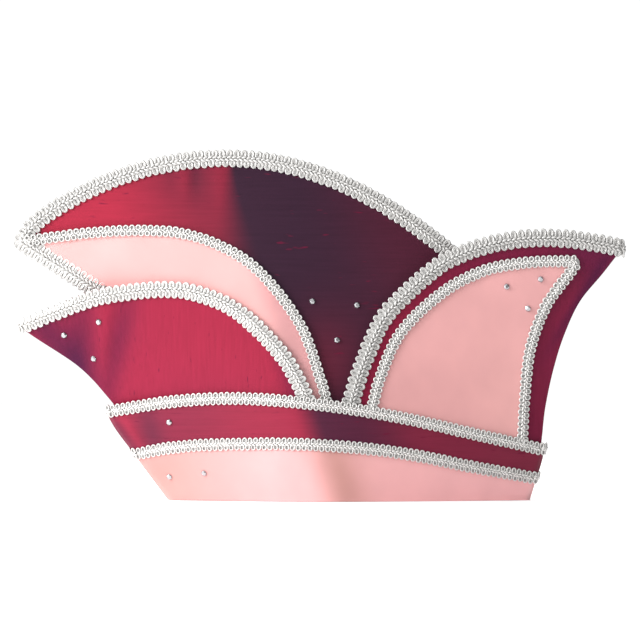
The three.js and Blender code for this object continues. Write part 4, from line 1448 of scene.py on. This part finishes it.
# %% [markdown]
# Now the tree can weave a braid. The ground and the loose points go into one mesh with the points'
# directions as attributes, the modifier's inputs are set by their identifiers, and the result is taken
# off as a plain mesh in a new object. The planning object goes away with its modifier, so that only the
# finished trim is left.

# %% From stations to a finished braid
SOCKETS = {item.name: item.identifier for item in BRAID_TREE.interface.items_tree}


def plan_mesh(name, grounds, stations):
    starts = np.cumsum([0] + [len(points) for points, _ in grounds])
    points = np.concatenate([points for points, _ in grounds] + stations.place)
    faces = np.concatenate([faces + start for (_, faces), start in zip(grounds, starts)])
    mesh = bpy.data.meshes.new(name)
    mesh.from_pydata((points * MM).tolist(), [], faces.tolist())
    for label in ("across", "outward"):
        layer = mesh.attributes.new(label, "FLOAT_VECTOR", "POINT")
        values = np.concatenate([np.zeros((starts[-1], 3)), *getattr(stations, label)])
        layer.data.foreach_set("vector", values.astype(np.float32).ravel())
    for label in ("role", "stretch"):
        layer = mesh.attributes.new(label, "FLOAT", "POINT")
        values = np.concatenate([np.zeros(starts[-1]), *getattr(stations, label)])
        layer.data.foreach_set("value", values.astype(np.float32))
    return mesh


def weave_braid(name, node_name, braid, grounds, stations, seed):
    plan = add_object(name + "_plan", plan_mesh(name, grounds, stations))
    modifier = plan.modifiers.new("gimp_braid", "NODES")
    modifier.node_group = BRAID_TREE
    values = {
        "Loop Length": HALF_LOOP * braid.width * MM,
        "Loop Width": LOOP_WIDTH * braid.pitch * MM,
        "Cord Radius": CORD_SHARE * braid.pitch * MM,
        "Stitch Length": STITCH_LENGTH * braid.width * MM,
        "Stitch Radius": STITCH_RADIUS * braid.width * MM,
        "Jitter": LOOP_JITTER,
        "Seed": seed,
        "Double Loops": braid.double,
        "Cord Material": CORDS[braid.silver],
        "Plait Material": PLAITS[braid.silver],
        "Ground Material": GROUNDS[braid.silver],
    }
    for label, value in values.items():
        modifier[SOCKETS[label]] = value
    shaped = plan.evaluated_get(bpy.context.evaluated_depsgraph_get())
    mesh = bpy.data.meshes.new_from_object(shaped)
    mesh.name = name
    for label in ("across", "outward", "role", "stretch", "UVMap"):
        layer = mesh.attributes.get(label)
        if layer:
            mesh.attributes.remove(layer)
    bpy.data.objects.remove(plan)
    piece = add_object(name, mesh)
    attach(piece, "root")
    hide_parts(node_name)
    print(f"{name}: {sum(map(len, stations.place))} loops and stitches, {len(mesh.polygons)} faces")


print("inputs of the braid tree:", ", ".join(name for name in SOCKETS if name != "Braid"))

# %% [markdown]
# Narrow braid covers the upper edge of the stripe and goes round the top and the end of the inlay. At its
# foot it runs down behind the band's braid, where the real one is sewn in, so the line goes on a little
# there and is cut off at the band's edge. Here is also the helper that sews every braid. It gathers a run
# of loops with its ground on each side, what goes round the folded ends, and sometimes a cover of its
# own. They could be woven one by one, but a real braid is one length of trim, so they become one piece.

# %% Braid on the stripe and the inlay
FOOT_RUN = 8
BAND_BRAID_COVER = 0.88
STRIPE_BRAID_START = Place(-219.5, 194)


def sew_braid(kind, braid, course, seed, sides=(LEFT, RIGHT), ends=(), cover=None):
    stations, grounds, rows = Stations(), [], {}
    for side in sides:
        add_run(stations, braid, course, side)
        rows[side], out = ground_rows(braid, course, side)
        grounds.append(ground_wall(rows[side], out, side))
    for end in ends:
        add_wrap(stations, braid, end, course.seat)
        grounds.append(wrap_ground(braid, end, course.seat))
    if cover:
        cover(braid, stations, grounds, rows)
    suffix = f"_{SIDE_NAMES[sides[0]]}" if len(sides) == 1 else ""
    weave_braid(f"{kind}_gimp{suffix}", f"{kind}_braid{suffix}", braid, grounds, stations, seed)


def above_band(spot):
    return spot[:, 1] > upper_line(spot[:, 0]) + BAND_BRAID_COVER


def run_on(rows, at_start):
    table = np.array(rows, float)
    if at_start:
        return np.concatenate([[table[0] + FOOT_RUN * unit(table[0] - table[1])], table])
    return np.concatenate([table, [table[-1] + FOOT_RUN * unit(table[-1] - table[-2])]])


def pair_of_braids(kind, braid, rows, form, seat, seed):
    course = Course(spline(rows), form, seat, keep=above_band)
    for side in SIDE_NAMES:
        sew_braid(kind, braid, course, seed, sides=[side])


stripe_line = run_on([STRIPE_BRAID_START] + [(row.x, row.z) for row in STRIPE_SECTIONS], False)
inlay_line = run_on(run_on(INLAY_TOP + INLAY_END[1:], True), False)
pair_of_braids("stripe", STRIPE, stripe_line, crown_width, STRIPE_SEAT, 3)
pair_of_braids("inlay", INLAY, inlay_line, hull_width, INLAY_SEAT, 4)

# %% [markdown]
# Wide braid binds the upper edges of the flaps. Near the crease it lies nearly flat on the flap. Towards
# the tip, where the edge stands free, its upper row rolls back over the edge. The change is spread over a
# few loops, and the rows go on round the folded tip.

# %% Braid on the edges of the flaps
SPINE_DROP = {"beak": 0.7, "fan": 1.0}
FREE_EDGE_ROLL, LAID_ROLL = {"beak": 38, "fan": 14}, 6
EDGE_FREE_FROM, ROLL_RUN = {"beak": -172, "fan": 106}, 30


def edge_braid(end, braid, rows, seed):
    sign = END_SIGNS[end]
    line = spline(rows)
    line = line[sign * line[:, 0] < sign * FLAP_REACH[end]]
    spine = line - SPINE_DROP[end] * sideways(unit(np.gradient(line, axis=0)))

    def roll(x):
        share = np.clip(sign * (x - EDGE_FREE_FROM[end]) / ROLL_RUN, 0, 1)
        return lerp(LAID_ROLL, FREE_EDGE_ROLL[end], share)

    tip = 0 if end == "beak" else -1
    ahead = unit(np.gradient(spine, axis=0))[tip]
    folded = FoldedEnd(spine[tip], ahead, 0.0, sign, FREE_EDGE_ROLL[end])
    course = Course(spine, hull_width, EDGE_SEAT, roll, above_band)
    sew_braid(f"{end}_flap", braid, course, seed, ends=[folded])


edge_braid("beak", BEAK_FLAP, run_on(BEAK_FLAP_EDGE, False), 5)
edge_braid("fan", FAN_FLAP, run_on(FAN_FLAP_EDGE, True), 6)

# %% [markdown]
# A narrow braid goes all the way round over the upper edge of each band. It is one ring in the real cap,
# so the left run, the right run and the two folded ends are woven together as one piece.

# %% Braid round the bands
def band_braid(kind, line_z, seed):
    line = np.concatenate(ring_grid(line_z, line_z, [0.0]), axis=1)
    ahead = unit(np.gradient(line, axis=0))
    ends = []
    for end, place in (("beak", 0), ("fan", -1)):
        z = line[place, 1]
        lean = (band_end(end, z + 1) - band_end(end, z - 1)) / 2
        ends.append(FoldedEnd(line[place], ahead[place], lean, END_SIGNS[end], 0.0))
    sew_braid(kind, BAND, Course(line, band_width, BAND_SEAT), seed, ends=ends)


band_braid("upper_band", upper_line, 7)
band_braid("lower_band", lower_line, 8)

# %% [markdown]
# Along the ridge and under the beak the braid is folded over the edge, so a run of loops lies on each
# face and their upper rows lean together over the top. A strip of ground closes the top like a roof, and
# at the beak's tip a few loops spread like the rays of a fan round a small nose of ground.

# %% Braid over the ridge and the beak
SADDLE_ROLL = -4
RIDGE_BRAID_START, RIDGE_BRAID_END, RIDGE_POINTS = BEAK_TIP[0] + 1, 112, 300
RIDGE_SPINE_DEPTH, BEAK_SPINE_DEPTH, BEAK_DEPTH_AT_TIP = 4.9, 5.5, 3.0
BEAK_BRAID_FROM, BEAK_BRAID_TO, BEAK_POINTS = -0.1, 0.97, 60
ROOF_RISE = 1.1
TipLoop = namedtuple("TipLoop", "angle reach")
TIP_LOOPS = [TipLoop(166, 7.2), TipLoop(187, 7.4), TipLoop(209, 8.0), TipLoop(231, 9.0)]
TIP_LOOPS_FROM = 6.2
NOSE_BACK = np.array([1.6, -0.6])


def saddle_roll(x):
    return SADDLE_ROLL + 0 * x


def add_roof(braid, stations, grounds, rows):
    left, right = rows[LEFT][:, -1], rows[RIGHT][:, -1]
    over = unit(left - rows[LEFT][:, 1] + right - rows[RIGHT][:, 1])
    roof = np.stack([left, (left + right) / 2 + ROOF_RISE * over, right], axis=1)
    grounds.append(ground_wall(roof, np.stack([over, over, over], axis=1), LEFT))


def add_roof_and_tip(braid, stations, grounds, rows):
    add_roof(braid, stations, grounds, rows)
    nose = FoldedEnd(BEAK_TIP + NOSE_BACK, np.array([1.0, 0.0]), 0.0, END_SIGNS["beak"], 0.0)
    grounds.append(wrap_ground(braid, nose, EDGE_SEAT))
    middle = np.radians(np.mean([loop.angle for loop in TIP_LOOPS]))
    hub = BEAK_TIP - TIP_LOOPS_FROM * np.array([np.cos(middle), np.sin(middle)])
    top = loop_seat(braid, EDGE_SEAT)
    for side in SIDE_NAMES:
        for loop in TIP_LOOPS:
            angle = np.radians(loop.angle)
            aside = np.array([[np.cos(angle), np.sin(angle)]])
            ahead = -sideways(aside)
            place, _, across, outward = frame_at(crown_width, side, top, hub[None], ahead, aside)
            stretch = loop.reach / (HALF_LOOP * braid.width)
            stations.add(place + across * loop.reach / 2, across, outward, LOOP, stretch)


def ridge_spine():
    x = np.linspace(RIDGE_BRAID_START, RIDGE_BRAID_END, RIDGE_POINTS)
    slope = ridge_slope(x)
    inward = unit(np.stack([slope, -1 + 0 * slope], axis=-1))
    return np.stack([x, ridge_z(x)], axis=-1) + inward * RIDGE_SPINE_DEPTH


def beak_spine():
    share = np.linspace(BEAK_BRAID_FROM, BEAK_BRAID_TO, BEAK_POINTS)[:, None]
    inward = -sideways(unit(BEAK_TIP - BEAK_ROOT)[None])
    depth = lerp(BEAK_SPINE_DEPTH, BEAK_DEPTH_AT_TIP, np.clip(share, 0, 1))
    return lerp(BEAK_ROOT, BEAK_TIP, share) + inward * depth


ridge_course = Course(ridge_spine(), crown_width, EDGE_SEAT, saddle_roll)
beak_course = Course(beak_spine(), crown_width, EDGE_SEAT, saddle_roll)
sew_braid("ridge", RIDGE, ridge_course, 9, cover=add_roof_and_tip)
sew_braid("beak", BEAK, beak_course, 10, cover=add_roof)

# %% [markdown]
# The rhinestones are flat-backed crystals: a girdle, two rings of facets and a table, silvered behind.
# Real glass would need many light paths for such small stones, and the silver is most of what is seen, so
# each stone is a bright metal under a clear coat. Its facets stay flat-shaded so that they sparkle.

# %% One rhinestone
FOIL_SILVER, FOIL_SHADE, FOIL_HAZE = (0.50, 0.50, 0.52, 1), (0.9, 1.0), (600, 600, 600)
STONE_RADIUS, STONE_HEIGHT, STONE_SIDES = 2.35, 1.5, 8
StoneRing = namedtuple("StoneRing", "radius height turned")
STONE_RINGS = [
    StoneRing(1.0, 0.0, 0.0),
    StoneRing(1.0, 0.22, 0.0),
    StoneRing(0.83, 0.62, 0.5),
    StoneRing(0.52, 1.0, 0.0),
]


def cut_crystal():
    material, tree, shader = new_material("cut_crystal")
    foil = between(tree, stretched_noise(tree, FOIL_HAZE, 1.0), NOISE_RANGE, FOIL_SHADE)
    feed(tree, shader, {
        "Base Color": mixed(tree, 1.0, FOIL_SILVER, foil, "MULTIPLY"),
        "Metallic": 0.9,
        "Roughness": 0.05,
        "Coat Weight": 1.0,
        "Coat Roughness": 0.02,
    })
    return material


def stone_shape():
    rings = []
    for ring in STONE_RINGS:
        angle = (np.arange(STONE_SIDES) + ring.turned) * 2 * math.pi / STONE_SIDES
        radius = STONE_RADIUS * ring.radius
        height = STONE_HEIGHT * ring.height + 0 * angle
        rings.append(np.stack([radius * np.cos(angle), radius * np.sin(angle), height], axis=-1))
    n = STONE_SIDES
    faces = [tuple(range(n - 1, -1, -1)), tuple(range(3 * n, 4 * n))]
    for i in range(n):
        j = (i + 1) % n
        faces.append((i, j, n + j, n + i))
        faces.append((n + i, n + j, 2 * n + i))
        faces.append((2 * n + i, n + j, 2 * n + j))
        faces.append((2 * n + i, 3 * n + j, 3 * n + i))
        faces.append((2 * n + i, 2 * n + j, 3 * n + j))
    return np.concatenate(rings), faces


CRYSTAL = cut_crystal()
print("stone:", 2 * STONE_RADIUS, "mm wide,", len(stone_shape()[1]), "facets, material", CRYSTAL.name)

# %% [markdown]
# Twelve stones are glued on each side, in groups of three: on the beak flap, the crown, the inlay and the
# bands. Each is set on the layer that carries it and faces out from the cloth. Stones that are glued by
# hand never sit quite alike, so each is turned and tilted a little by chance, with a fixed seed.

# %% Rhinestones on both sides
STONE_TILT, STONE_LIFT, STONE_SEED = 5, 0.25, 11
Stone = namedtuple("Stone", "on x z")
STONES = [
    Stone("beak_flap", -191, 123.5),
    Stone("beak_flap", -165, 133.5),
    Stone("beak_flap", -169, 106),
    Stone("crown", -5, 149),
    Stone("crown", 28.5, 146),
    Stone("crown", 13.5, 120),
    Stone("inlay", 140.5, 160),
    Stone("inlay", 166, 165.5),
    Stone("inlay", 156.5, 143.5),
    Stone("upper_band", -112, 58.5),
    Stone("lower_band", -112, 17.5),
    Stone("lower_band", -86, 20.5),
]
Seat = namedtuple("Seat", "form height")
STONE_SEATS = {
    "beak_flap": Seat(hull_width, PANEL_OUTER),
    "crown": Seat(crown_width, PANEL_OUTER),
    "inlay": Seat(hull_width, APPLIQUE_LAYER[1]),
    "upper_band": Seat(band_width, BAND_LAYER[1]),
    "lower_band": Seat(band_width, BAND_LAYER[1]),
}


def turned_axes(axes, chance):
    spin = chance.uniform(0, 2 * math.pi / STONE_SIDES)
    lean = np.radians(chance.uniform(-STONE_TILT, STONE_TILT, 2))
    out = unit(axes[2] + lean[0] * axes[0] + lean[1] * axes[1])
    first = unit(np.cross(math.cos(spin) * axes[1] - math.sin(spin) * axes[0], out))
    return np.stack([first, np.cross(out, first), out])


def set_stones(side, side_name):
    chance = np.random.default_rng(STONE_SEED)
    shape, shape_faces = stone_shape()
    ahead, upward = np.array([[1.0, 0.0]]), np.array([[0.0, 1.0]])
    points, faces, nodes = [], [], []
    for number, stone in enumerate(STONES, 1):
        seat = STONE_SEATS[stone.on]
        spot = np.array([[stone.x, stone.z]], float)
        height = seat.height + STONE_LIFT
        place, along, across, outward = frame_at(seat.form, side, height, spot, ahead, upward)
        axes = turned_axes(np.stack([-side * along[0], across[0], outward[0]]), chance)
        faces += [tuple(len(points) * len(shape) + k for k in face) for face in shape_faces]
        points.append(place + shape @ axes)
        nodes.append(f"stone_{stone.on}_{number}_{side_name}")
    mesh = bpy.data.meshes.new(f"rhinestones_{side_name}")
    mesh.from_pydata((np.concatenate(points) * MM).tolist(), [], faces)
    mesh.materials.append(CRYSTAL)
    piece = add_object(f"rhinestones_{side_name}", mesh)
    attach(piece, "root")
    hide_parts(*nodes)
    print(f"{piece.name}: {len(nodes)} stones, {len(mesh.polygons)} facets")


for side, side_name in SIDE_NAMES.items():
    set_stones(side, side_name)
